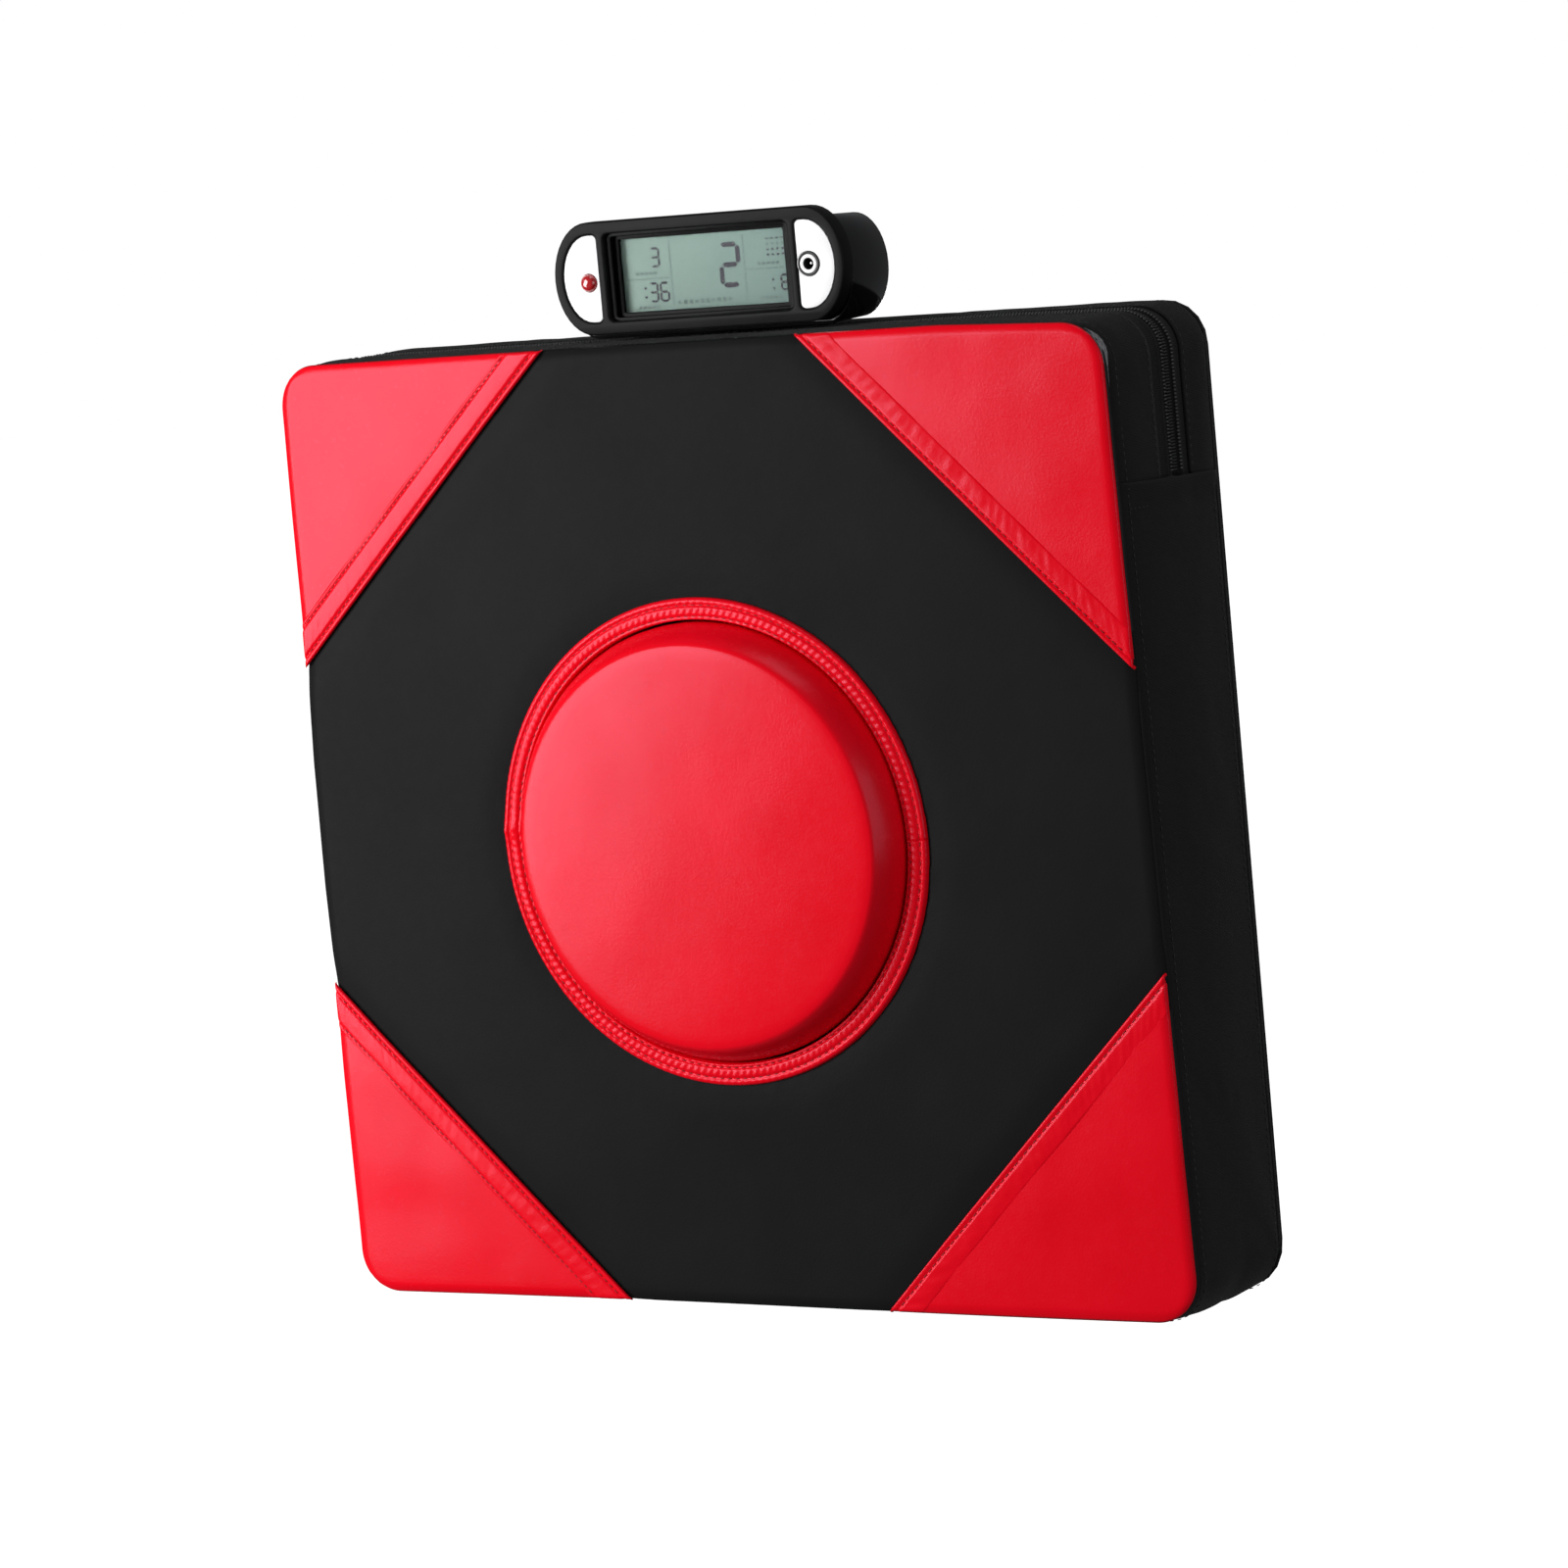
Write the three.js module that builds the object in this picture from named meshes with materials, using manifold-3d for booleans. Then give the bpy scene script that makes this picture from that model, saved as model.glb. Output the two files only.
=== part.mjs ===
// Wall-mounted boxing target with a punch counter on top, in millimetres.
// X points right, Y to the wall and Z up. The origin is the middle of the face that meets the wall.

import * as THREE from 'three';
import { mergeVertices } from 'three/addons/utils/BufferGeometryUtils.js';
import Module from 'manifold-3d';

const wasm = await Module();
wasm.setup();

// Driving dimensions
const gap = 0.3;
const padHalf = 200;
const padDepth = 88;
const padCorner = 18;
const faceGrow = 0.4;
const skin = 1.2;
const clothThick = 1.4;
const pipingThick = 1.4;
const pipingWide = 2.2;

const patchThick = 1.5;
const hemWide = 14;

const targetX = -2.5;
const targetZ = -6;
const ringOuter = 102;
const ringInner = 92.3;
const targetBase = 91.7;
const targetFace = 83.5;
const targetProud = 15;
const targetTravel = 12;
const pocketRadius = 95;

const backboardThick = 11.5;
const baseFoamThick = 16.4;
const wallHoleAt = 150;
const wallHoleRadius = 3;
const eyeletRadius = 8;

const zipAt = -37;
const zipEndZ = 134;
const chainWide = 8.6;
const frontTapeWide = 9;
const rearTapeWide = 6;

const meterFront = -62;
const meterDepth = 38.5;
const bezelHalfWide = 69.8;
const bezelHalfHigh = 23.5;
const bezelZ = 227.2;
const bezelDeep = 8.4;
const shellHalfWide = 68;
const shellHalfHigh = 21.8;
const shellZ = 224.1;
const shellWall = 1.8;
const endReach = 17.5;
const windowHalfWide = 44.5;
const windowHalfHigh = 18.2;
const viewHalfWide = 39.6;
const viewHalfHigh = 15.2;
const plateInner = 48;
const plateRim = 4.6;
const controlX = 53.2;
const buttonZ = 225.6;
const buttonRadius = 3.7;
const buttonTravel = 1;
const jackRadius = 4.9;
const jackHole = 2.3;
const postX = 57.5;
const postRise = 10;
const cableZ = 221;
const cableY = -18.5;

const roundSides = 20;
const targetSides = 48;

// Places worked out from the dimensions
const faceY = -padDepth;
const panelY = faceY + patchThick + gap;
const foamFrontY = panelY + skin + gap;
const panelHalf = padHalf + faceGrow;
const rearHalf = padHalf - pipingThick - gap;
const backboardRearY = -skin - gap;
const backboardFrontY = backboardRearY - backboardThick;
const baseFoamRearY = backboardFrontY - gap;
const baseFoamFrontY = baseFoamRearY - baseFoamThick;
const foamRearY = baseFoamFrontY - gap;
const pipingFrontY = panelY + skin + gap;
const sideFrontY = pipingFrontY + pipingWide + gap;
const sideRearY = -pipingWide - gap;
const meterRear = meterFront + meterDepth;
const plateBackY = meterFront + 2.2;
const webBackY = meterFront + 4.4;

const root = new THREE.Group();

// Materials
function paint(color, roughness, metalness = 0) {
  return new THREE.MeshStandardMaterial({ color, roughness, metalness });
}

const redLeather = paint(0xd8162c, 0.45);
const blackLeather = paint(0x242426, 0.55);
const blackCloth = paint(0x1b1a1c, 0.9);
const blackPlastic = paint(0x1e1e20, 0.3);
const whitePlastic = paint(0xf2f2f2, 0.4);
const redPlastic = paint(0xb3262c, 0.2);
const foamGrey = paint(0x6e6e72, 0.95);
const boardWood = paint(0x9c7a4e, 0.7);
const steel = paint(0xb8b8bc, 0.35, 1);
const darkMetal = paint(0x35353a, 0.35, 1);

// Solids and nodes
function solid(geometry) {
  const bare = geometry.clone();
  bare.deleteAttribute('normal');
  bare.deleteAttribute('uv');
  const merged = mergeVertices(bare, 1e-4);
  const mesh = new wasm.Mesh({
    numProp: 3,
    vertProperties: new Float32Array(merged.attributes.position.array),
    triVerts: new Uint32Array(merged.index.array),
  });
  return new wasm.Manifold(mesh);
}

function geometryOf(manifold) {
  const mesh = manifold.getMesh();
  const geometry = new THREE.BufferGeometry();
  geometry.setAttribute('position', new THREE.BufferAttribute(mesh.vertProperties, 3));
  geometry.setIndex(new THREE.BufferAttribute(mesh.triVerts, 1));
  geometry.computeVertexNormals();
  return geometry;
}

function addNode(name, shape, material, parent = root) {
  const geometry = shape.isBufferGeometry ? shape : geometryOf(shape);
  const mesh = new THREE.Mesh(geometry, material);
  mesh.name = name;
  parent.add(mesh);
  return mesh;
}

// A flat outline in X and Z, made solid from its front to its back.
function slab(shape, frontY, backY) {
  const geometry = new THREE.ExtrudeGeometry(shape, {
    depth: backY - frontY,
    bevelEnabled: false,
    curveSegments: 4,
  });
  geometry.rotateX(Math.PI / 2);
  geometry.translate(0, backY, 0);
  return geometry;
}

function block(x0, x1, y0, y1, z0, z1) {
  const geometry = new THREE.BoxGeometry(x1 - x0, y1 - y0, z1 - z0);
  geometry.translate((x0 + x1) / 2, (y0 + y1) / 2, (z0 + z1) / 2);
  return geometry;
}

function rod(radius, x, z, y0, y1, sides = roundSides) {
  const geometry = new THREE.CylinderGeometry(radius, radius, y1 - y0, sides);
  geometry.translate(x, (y0 + y1) / 2, z);
  return geometry;
}

// A solid of revolution about Y; its profile runs from the rear of the axis to the front.
function turned(profile, x, z, sides = roundSides) {
  const points = profile.map(([radius, y]) => new THREE.Vector2(radius, y));
  const geometry = new THREE.LatheGeometry(points.reverse(), sides);
  geometry.translate(x, 0, z);
  return geometry;
}

function roundedRect(half, high, corner, centreZ = 0) {
  const shape = new THREE.Shape();
  const quarter = Math.PI / 2;
  shape.absarc(half - corner, centreZ + high - corner, corner, 0, quarter);
  shape.absarc(corner - half, centreZ + high - corner, corner, quarter, 2 * quarter);
  shape.absarc(corner - half, centreZ + corner - high, corner, 2 * quarter, 3 * quarter);
  shape.absarc(half - corner, centreZ + corner - high, corner, 3 * quarter, 4 * quarter);
  shape.closePath();
  return shape;
}

function square(half, corner) {
  return roundedRect(half, half, corner);
}

function squareBand(outerHalf, thick, outerCorner, frontY, backY) {
  const shape = square(outerHalf, outerCorner);
  shape.holes.push(square(outerHalf - thick, outerCorner - thick));
  return solid(slab(shape, frontY, backY));
}

// The counter's outline: straight top and bottom, with half-ellipse ends.
function ovalEnds(halfWide, halfHigh, reach, centreZ) {
  const shape = new THREE.Shape();
  const quarter = Math.PI / 2;
  shape.absellipse(halfWide - reach, centreZ, reach, halfHigh, -quarter, quarter);
  shape.absellipse(reach - halfWide, centreZ, reach, halfHigh, quarter, 3 * quarter);
  shape.closePath();
  return shape;
}

function circle(radius, x = 0, z = 0) {
  return new THREE.Shape().absarc(x, z, radius, 0, 2 * Math.PI);
}

// Sewn front cover
// Each patch's cut edge runs from (alongTop, top or bottom edge) to (side edge, alongSide).
const patches = [
  { place: 'top_right', x: 1, z: 1, alongTop: 58, alongSide: 60.5 },
  { place: 'bottom_right', x: 1, z: -1, alongTop: 61, alongSide: 60.5 },
  { place: 'bottom_left', x: -1, z: -1, alongTop: 64, alongSide: 65 },
  { place: 'top_left', x: -1, z: 1, alongTop: 63.5, alongSide: 71.5 },
];

function patchOutline({ x, z, alongTop, alongSide }, under = 0) {
  const corner = padCorner + faceGrow;
  const shape = new THREE.Shape();
  shape.moveTo(alongTop + under, panelHalf);
  shape.lineTo(panelHalf, alongSide + under);
  shape.absarc(panelHalf - corner, panelHalf - corner, corner, 0, Math.PI / 2);
  shape.closePath();
  return new THREE.Shape(shape.getPoints(4).map((point) => new THREE.Vector2(point.x * x, point.y * z)));
}

// The panel goes on under each patch as far as the inner row of stitches.
function frontPanel() {
  let plate = solid(slab(square(panelHalf, padCorner + faceGrow), panelY, panelY + skin));
  for (const patch of patches) {
    const beyond = slab(patchOutline(patch, hemWide * Math.SQRT2), panelY - 1, panelY + skin + 1);
    plate = plate.subtract(solid(beyond));
  }
  const hole = solid(rod(ringInner, targetX, targetZ, panelY - 1, panelY + skin + 1, targetSides));
  return plate.subtract(hole);
}

function targetRing() {
  const band = solid(rod(ringOuter, targetX, targetZ, faceY, faceY + patchThick, targetSides));
  const hole = solid(rod(ringInner, targetX, targetZ, faceY - 1, faceY + patchThick + 1, targetSides));
  return band.subtract(hole);
}

addNode('front_panel', frontPanel(), blackLeather);
for (const patch of patches) {
  addNode(`corner_patch_${patch.place}`, slab(patchOutline(patch), faceY, faceY + patchThick), redLeather);
}
addNode('target_ring', targetRing(), redLeather);

// Punch target: a leather cup over a foam drum with an impact plate behind it
const targetFrontY = faceY - targetProud;
const skirtRearY = faceY + 12;
const drumRearY = -50;
const plateThick = 4;

function targetCover() {
  const profile = [
    [targetBase - clothThick, skirtRearY],
    [targetBase, skirtRearY],
    [targetBase, faceY + 1],
    [targetBase - 3, faceY - 6],
    [targetFace + 2.4, targetFrontY + 3.6],
    [targetFace, targetFrontY + 1.4],
    [targetFace - 3.2, targetFrontY + 0.3],
    [0, targetFrontY],
  ];
  const inside = [
    [0, targetFrontY + clothThick],
    [targetFace - 3.6, targetFrontY + 0.3 + clothThick],
    [targetFace - 1, targetFrontY + 2.8],
    [targetFace + 1, targetFrontY + 4.6],
    [targetBase - 3 - clothThick, faceY - 6],
    [targetBase - clothThick, faceY + 1],
  ];
  const outline = [...profile, ...inside, profile[0]];
  const geometry = turned(outline, targetX, targetZ, targetSides);
  return geometry;
}

function targetFoam() {
  const inner = targetBase - clothThick - gap;
  return turned([
    [0, drumRearY],
    [inner, drumRearY],
    [inner, faceY + 1],
    [inner - 3, faceY - 6],
    [targetFace + 0.6, targetFrontY + 5.2],
    [targetFace - 2, targetFrontY + 3.4],
    [0, targetFrontY + clothThick + gap],
  ], targetX, targetZ, targetSides);
}

addNode('target_cover', targetCover(), redLeather);
addNode('target_foam', targetFoam(), foamGrey);
addNode('impact_plate', rod(86, targetX, targetZ, drumRearY + gap, drumRearY + gap + plateThick, 48), blackPlastic);

// Side cloth, piping and zip
function sideBand(thick, outerHalf, frontY, backY) {
  return squareBand(outerHalf, thick, padCorner, frontY, backY);
}

function upperPart(band) {
  const above = block(-250, 250, -100, 10, zipEndZ + gap, 250);
  return band.intersect(solid(above));
}

const tapeFrontY = zipAt - chainWide / 2 - gap - frontTapeWide;
const tapeRearY = zipAt + chainWide / 2 + gap + rearTapeWide;

function lowerBand() {
  const below = block(-250, 250, -100, 10, -250, zipEndZ);
  return sideBand(clothThick, padHalf, sideFrontY, sideRearY).intersect(solid(below));
}

const neckHalf = 20;
const neckFrontY = meterRear + gap;
const neckRearY = backboardFrontY - gap;
const neckFootZ = 150;
const neckTopZ = 238;

function rearStrip() {
  const slit = block(-neckHalf - gap, neckHalf + gap, neckFrontY - gap, neckRearY + gap, 190, 210);
  const strip = upperPart(sideBand(clothThick, padHalf, tapeRearY + gap, sideRearY));
  return strip.subtract(solid(slit));
}

const tapeThick = 0.9;
const chainThick = 1.6;

addNode('lower_side_band', lowerBand(), blackCloth);
addNode('front_side_strip', upperPart(sideBand(clothThick, padHalf, sideFrontY, tapeFrontY - gap)), blackCloth);
addNode('rear_side_strip', rearStrip(), blackCloth);
addNode('zip_tape_front',
  upperPart(sideBand(tapeThick, padHalf - 0.4, tapeFrontY, tapeFrontY + frontTapeWide)), blackCloth);
addNode('zip_tape_rear',
  upperPart(sideBand(tapeThick, padHalf - 0.4, tapeRearY - rearTapeWide, tapeRearY)), blackCloth);
addNode('zip_chain',
  upperPart(sideBand(chainThick, padHalf + 0.3, zipAt - chainWide / 2, zipAt + chainWide / 2)), blackPlastic);
addNode('front_piping',
  squareBand(padHalf + 0.2, pipingThick, padCorner + 0.2, pipingFrontY, pipingFrontY + pipingWide), blackLeather);
addNode('rear_piping',
  squareBand(padHalf, pipingThick, padCorner, -pipingWide, 0), blackLeather);

// Zip slider on the left side, with its pull hanging over the seam
const sliderBaseX = -padHalf - 0.6;
const sliderTopX = sliderBaseX - 2.7;
const sliderFootZ = zipEndZ + 1;
const sliderLong = 10;
const archX = sliderTopX - 2.3;
const pullThick = 1.2;
const pullPivotX = sliderTopX - 1.05;
const pullPivotZ = sliderFootZ + sliderLong / 2;

function zipSlider() {
  const body = solid(block(sliderTopX, sliderBaseX, zipAt - 6, zipAt + 6,
    sliderFootZ, sliderFootZ + sliderLong));
  const arch = solid(block(archX - 1.2, sliderTopX + 0.5, zipAt - 1.5, zipAt + 1.5,
    sliderFootZ + 0.2, sliderFootZ + sliderLong - 0.2));
  const under = solid(block(archX, sliderTopX, zipAt - 3, zipAt + 3,
    sliderFootZ + 2, sliderFootZ + sliderLong - 2));
  return body.add(arch.subtract(under));
}

function zipPull() {
  const x0 = pullPivotX - pullThick / 2;
  const x1 = pullPivotX + pullThick / 2;
  const tab = solid(block(x0, x1, zipAt - 4, zipAt + 4, pullPivotZ - 27, pullPivotZ + 0.7));
  const slot = solid(block(x0 - 1, x1 + 1, zipAt - 2.2, zipAt + 2.2, pullPivotZ - 9, pullPivotZ - 0.7));
  const eye = solid(block(x0 - 1, x1 + 1, zipAt - 1.6, zipAt + 1.6, pullPivotZ - 24.5, pullPivotZ - 16));
  return tab.subtract(slot).subtract(eye);
}

addNode('zip_slider', zipSlider(), darkMetal);
addNode('zip_pull', zipPull(), darkMetal);

// Rear panel with eyelets, backboard and foam
const corners = [
  ['top_right', 1, 1],
  ['bottom_right', 1, -1],
  ['bottom_left', -1, -1],
  ['top_left', -1, 1],
];
const neckScrewX = 14;
const neckScrewZ = 170;

function rearPanel() {
  const shape = square(rearHalf, padCorner - pipingThick - gap);
  let panel = solid(slab(shape, -skin, 0));
  for (const [, x, z] of corners) {
    const hole = rod(eyeletRadius + gap, x * wallHoleAt, z * wallHoleAt, -skin - 1, 1);
    panel = panel.subtract(solid(hole));
  }
  return panel;
}

function eyelet(x, z) {
  const disc = solid(rod(eyeletRadius, x, z, -skin, 0));
  return disc.subtract(solid(rod(wallHoleRadius + 0.4, x, z, -skin - 1, 1)));
}

function backboard() {
  let board = solid(slab(square(196, 14.5), backboardFrontY, backboardRearY));
  for (const [, x, z] of corners) {
    const hole = rod(wallHoleRadius, x * wallHoleAt, z * wallHoleAt, backboardFrontY - 1, 0);
    board = board.subtract(solid(hole));
  }
  for (const x of [-neckScrewX, neckScrewX]) {
    const hole = rod(2.2, x, neckScrewZ, backboardFrontY - 1, 0, 16);
    const sink = rod(4.5, x, neckScrewZ, backboardRearY - 3.2, 0, 16);
    board = board.subtract(solid(hole)).subtract(solid(sink));
  }
  return board;
}

function baseFoam() {
  const sheet = solid(slab(square(196.2, 14), baseFoamFrontY, baseFoamRearY));
  const neckRoom = block(-neckHalf - 0.6, neckHalf + 0.6, -40, 0, neckFootZ - 0.6, 250);
  const groove = block(-3, 3, -40, cableY + 2.2, targetZ - 6, neckFootZ);
  return sheet.subtract(solid(neckRoom)).subtract(solid(groove));
}

function shockFoam() {
  const pad = solid(slab(square(196.2, 14), foamFrontY, foamRearY));
  const pocket = solid(rod(pocketRadius, targetX, targetZ, foamFrontY - 1, foamRearY + 1, targetSides));
  return pad.subtract(pocket);
}

addNode('rear_panel', rearPanel(), blackCloth);
for (const [place, x, z] of corners) {
  addNode(`eyelet_${place}`, eyelet(x * wallHoleAt, z * wallHoleAt), darkMetal);
}
addNode('backboard', backboard(), boardWood);
addNode('base_foam', baseFoam(), foamGrey);
addNode('shock_foam', shockFoam(), foamGrey);

// Impact sensor and the cable from it to the counter
const sensorThick = 3;
const sensorRearY = foamRearY - gap;
const cableRadius = 1.5;

function sensorCable() {
  const path = new THREE.CurvePath();
  const startY = sensorRearY + 2 * gap;
  const low = new THREE.Vector3(0, startY, targetZ);
  const lowBend = new THREE.Vector3(0, cableY, targetZ);
  const lowOut = new THREE.Vector3(0, cableY, targetZ + 8);
  const highIn = new THREE.Vector3(0, cableY, cableZ - 4);
  const highBend = new THREE.Vector3(0, cableY, cableZ);
  const highOut = new THREE.Vector3(0, cableY - 4, cableZ);
  const end = new THREE.Vector3(0, meterRear - 16, cableZ);
  path.add(new THREE.QuadraticBezierCurve3(low, lowBend, lowOut));
  path.add(new THREE.LineCurve3(lowOut, highIn));
  path.add(new THREE.QuadraticBezierCurve3(highIn, highBend, highOut));
  path.add(new THREE.LineCurve3(highOut, end));
  const section = circle(cableRadius);
  return new THREE.ExtrudeGeometry(section, { steps: 44, extrudePath: path, curveSegments: 4 });
}

addNode('impact_sensor', rod(20, 0, targetZ, sensorRearY - sensorThick, sensorRearY, 32), steel);
addNode('sensor_cable', sensorCable(), blackPlastic);

// Neck that carries the counter from the backboard
const mountScrewX = 12;
const mountScrewZ = 232;

function meterNeck() {
  let neck = solid(block(-neckHalf, neckHalf, neckFrontY, neckRearY, neckFootZ, neckTopZ));
  const channel = block(-6, 6, neckFrontY + 2, neckRearY - 2.4, neckFootZ - 1, cableZ + 5);
  const outlet = rod(3, 0, cableZ, neckFrontY - 1, neckFrontY + 4, 16);
  neck = neck.subtract(solid(channel)).subtract(solid(outlet));
  for (const side of [-1, 1]) {
    const bore = rod(3.4, side * mountScrewX, mountScrewZ, neckFrontY + 3.5, neckRearY + 1, 16);
    const hole = rod(1.7, side * mountScrewX, mountScrewZ, neckFrontY - 1, neckFrontY + 4, 16);
    const pilot = rod(2.2, side * neckScrewX, neckScrewZ, neckRearY - 9.7, neckRearY + 1, 16);
    neck = neck.subtract(solid(bore)).subtract(solid(hole)).subtract(solid(pilot));
  }
  return neck;
}

function screw(x, z, headRearY, headThick, headRadius, shankRadius, tipY) {
  return turned([
    [0, headRearY],
    [headRadius, headRearY],
    [headRadius, headRearY - headThick],
    [shankRadius, headRearY - headThick],
    [shankRadius, tipY],
    [0, tipY],
  ], x, z, 16);
}

addNode('meter_neck', meterNeck(), blackPlastic);
const sides = [['left', -1], ['right', 1]];
for (const [side, x] of sides) {
  addNode(`neck_screw_${side}`,
    screw(x * neckScrewX, neckScrewZ, backboardRearY - gap, 2.5, 4.2, 1.9, neckRearY - 9.4), steel);
  addNode(`mount_screw_${side}`,
    screw(x * mountScrewX, mountScrewZ, neckFrontY + 3.5 + gap + 2, 2, 2.9, 1.3, meterRear - 5), steel);
}

// Counter housing
const innerReach = endReach - 2;
const shellReach = 14;
const postTipY = meterRear - shellWall - gap;

function endPlateShape(side, grow) {
  const reach = endReach - plateRim + grow;
  const high = bezelHalfHigh - plateRim - 0.9 + grow;
  const outer = bezelHalfWide - plateRim + grow;
  const shape = new THREE.Shape();
  const quarter = Math.PI / 2;
  shape.moveTo(plateInner - grow, bezelZ - high);
  shape.lineTo(outer - reach, bezelZ - high);
  shape.absellipse(outer - reach, bezelZ, reach, high, -quarter, quarter);
  shape.lineTo(plateInner - grow, bezelZ + high);
  shape.closePath();
  const plate = new THREE.Shape(shape.getPoints(5).map((point) => new THREE.Vector2(point.x * side, point.y)));
  return plate;
}

function meterBezel() {
  const outline = ovalEnds(bezelHalfWide, bezelHalfHigh, endReach, bezelZ);
  const cavity = ovalEnds(bezelHalfWide - 2.2, bezelHalfHigh - 2.2, innerReach, bezelZ);
  let bezel = solid(slab(outline, meterFront, meterFront + bezelDeep));
  bezel = bezel.subtract(solid(slab(cavity, webBackY, meterFront + bezelDeep + 1)));
  const opening = roundedRect(windowHalfWide, windowHalfHigh, 2.5, bezelZ);
  for (const [x, z] of [[1, 1], [1, -1], [-1, -1], [-1, 1]]) {
    const post = solid(rod(3, x * postX, shellZ + z * postRise, webBackY - 0.5, postTipY, 16));
    const pilot = solid(rod(1.4, x * postX, shellZ + z * postRise, postTipY - 8, postTipY + 1, 12));
    bezel = bezel.add(post.subtract(pilot));
  }
  bezel = bezel.subtract(solid(slab(opening, meterFront - 1, webBackY + 1)));
  for (const side of [-1, 1]) {
    bezel = bezel.subtract(solid(slab(endPlateShape(side, gap), meterFront - 1, plateBackY)));
  }
  const buttonHole = rod(buttonRadius + 0.4, -controlX, buttonZ, meterFront - 1, webBackY + 1);
  const jackWay = rod(jackRadius + gap, controlX, bezelZ, meterFront - 1, webBackY + 1);
  return bezel.subtract(solid(buttonHole)).subtract(solid(jackWay));
}

function meterShell() {
  const shellFrontY = meterFront + bezelDeep + gap;
  const outline = ovalEnds(shellHalfWide, shellHalfHigh, shellReach, shellZ);
  const cavity = ovalEnds(shellHalfWide - shellWall, shellHalfHigh - shellWall, shellReach - shellWall, shellZ);
  let shell = solid(slab(outline, shellFrontY, meterRear));
  shell = shell.subtract(solid(slab(cavity, shellFrontY - 1, meterRear - shellWall)));
  for (const x of [-1, 1]) {
    for (const z of [-1, 1]) {
      const hole = rod(1.4, x * postX, shellZ + z * postRise, meterRear - 4, meterRear + 1, 12);
      shell = shell.subtract(solid(hole));
    }
    const mountHole = rod(1.6, x * mountScrewX, mountScrewZ, meterRear - 4, meterRear + 1, 12);
    shell = shell.subtract(solid(mountHole));
  }
  return shell.subtract(solid(rod(3, 0, cableZ, meterRear - 4, meterRear + 1, 16)));
}

function endPlate(side, holeRadius, holeZ) {
  const plate = solid(slab(endPlateShape(side, 0), meterFront + gap, plateBackY - gap));
  return plate.subtract(solid(rod(holeRadius, side * controlX, holeZ, meterFront - 1, webBackY)));
}

function lcdCarrier() {
  const frontY = webBackY + gap;
  const backY = meterFront + bezelDeep;
  const outer = slab(roundedRect(46.5, 20, 1.5, bezelZ), frontY, backY);
  const view = slab(roundedRect(viewHalfWide, viewHalfHigh, 0.6, bezelZ), frontY - 1, backY + 1);
  const pocket = slab(roundedRect(43.1, 16.9, 0.6, bezelZ), frontY + 1.5, backY + 1);
  return solid(outer).subtract(solid(view)).subtract(solid(pocket));
}

const lcdFrontY = webBackY + gap + 1.5 + gap;

addNode('meter_bezel', meterBezel(), blackPlastic);
addNode('meter_shell', meterShell(), blackPlastic);
addNode('end_plate_left', endPlate(-1, buttonRadius + 0.3, buttonZ), whitePlastic);
addNode('end_plate_right', endPlate(1, jackRadius + gap, bezelZ), whitePlastic);
addNode('lcd_carrier', lcdCarrier(), blackPlastic);
addNode('lcd_window', slab(roundedRect(42.8, 16.6, 0.5, bezelZ), lcdFrontY, lcdFrontY + 0.8), paint(0xdfe8e4, 0.05));
addNode('lcd_panel',
  slab(roundedRect(42.8, 16.6, 0.5, bezelZ), lcdFrontY + 1.1, lcdFrontY + 3.9), paint(0x9fb0a8, 0.3));

// Controls and electronics inside the counter
const switchTopY = webBackY + 3.5;
const boardY = webBackY + 10.4;

function modeButton() {
  const flangeY = webBackY + gap;
  return turned([
    [0, switchTopY - gap - buttonTravel],
    [1.5, switchTopY - gap - buttonTravel],
    [1.5, flangeY + 1],
    [5.2, flangeY + 1],
    [5.2, flangeY],
    [buttonRadius, flangeY],
    [buttonRadius, meterFront - 0.8],
    [buttonRadius * 0.8, meterFront - 1.5],
    [buttonRadius * 0.45, meterFront - 1.9],
    [0, meterFront - 2],
  ], -controlX, buttonZ, 24);
}

function buttonSwitch() {
  const body = solid(block(-controlX - 3, -controlX + 3, switchTopY + 1.2, boardY - gap, buttonZ - 3, buttonZ + 3));
  return body.add(solid(rod(1.7, -controlX, buttonZ, switchTopY, switchTopY + 2, 12)));
}

function chargeJack() {
  const barrel = solid(rod(jackRadius, controlX, bezelZ, meterFront - 0.2, boardY - gap, 24));
  return barrel.subtract(solid(rod(jackHole, controlX, bezelZ, meterFront - 1, meterFront + 9, 24)));
}

function circuitBoard() {
  let board = solid(slab(ovalEnds(62.5, 17.5, 15, shellZ), boardY, boardY + 1.6));
  for (const x of [-1, 1]) {
    for (const z of [-1, 1]) {
      board = board.subtract(solid(rod(3.4, x * postX, shellZ + z * postRise, boardY - 1, boardY + 3, 16)));
    }
  }
  return board;
}

addNode('mode_button', modeButton(), redPlastic);
addNode('button_switch', buttonSwitch(), blackPlastic);
addNode('charge_jack', chargeJack(), blackPlastic);
addNode('circuit_board', circuitBoard(), paint(0x1f5a34, 0.5));
addNode('battery', block(6, 52, boardY + 2.5, boardY + 10.5, shellZ - 14, shellZ + 14), paint(0x3a5fa8, 0.5));

for (const [place, x, z] of corners) {
  addNode(`meter_screw_${place}`,
    screw(x * postX, shellZ + z * postRise, meterRear + gap + 1.4, 1.4, 2.5, 1.1, meterRear - 9), steel);
}

export default root;
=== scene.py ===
# Wall boxing target with a punch counter on top: sewn cover, zip, strike pad and LCD counter.
import math

import bmesh
import bpy
from mathutils import Matrix, Vector, noise


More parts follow.
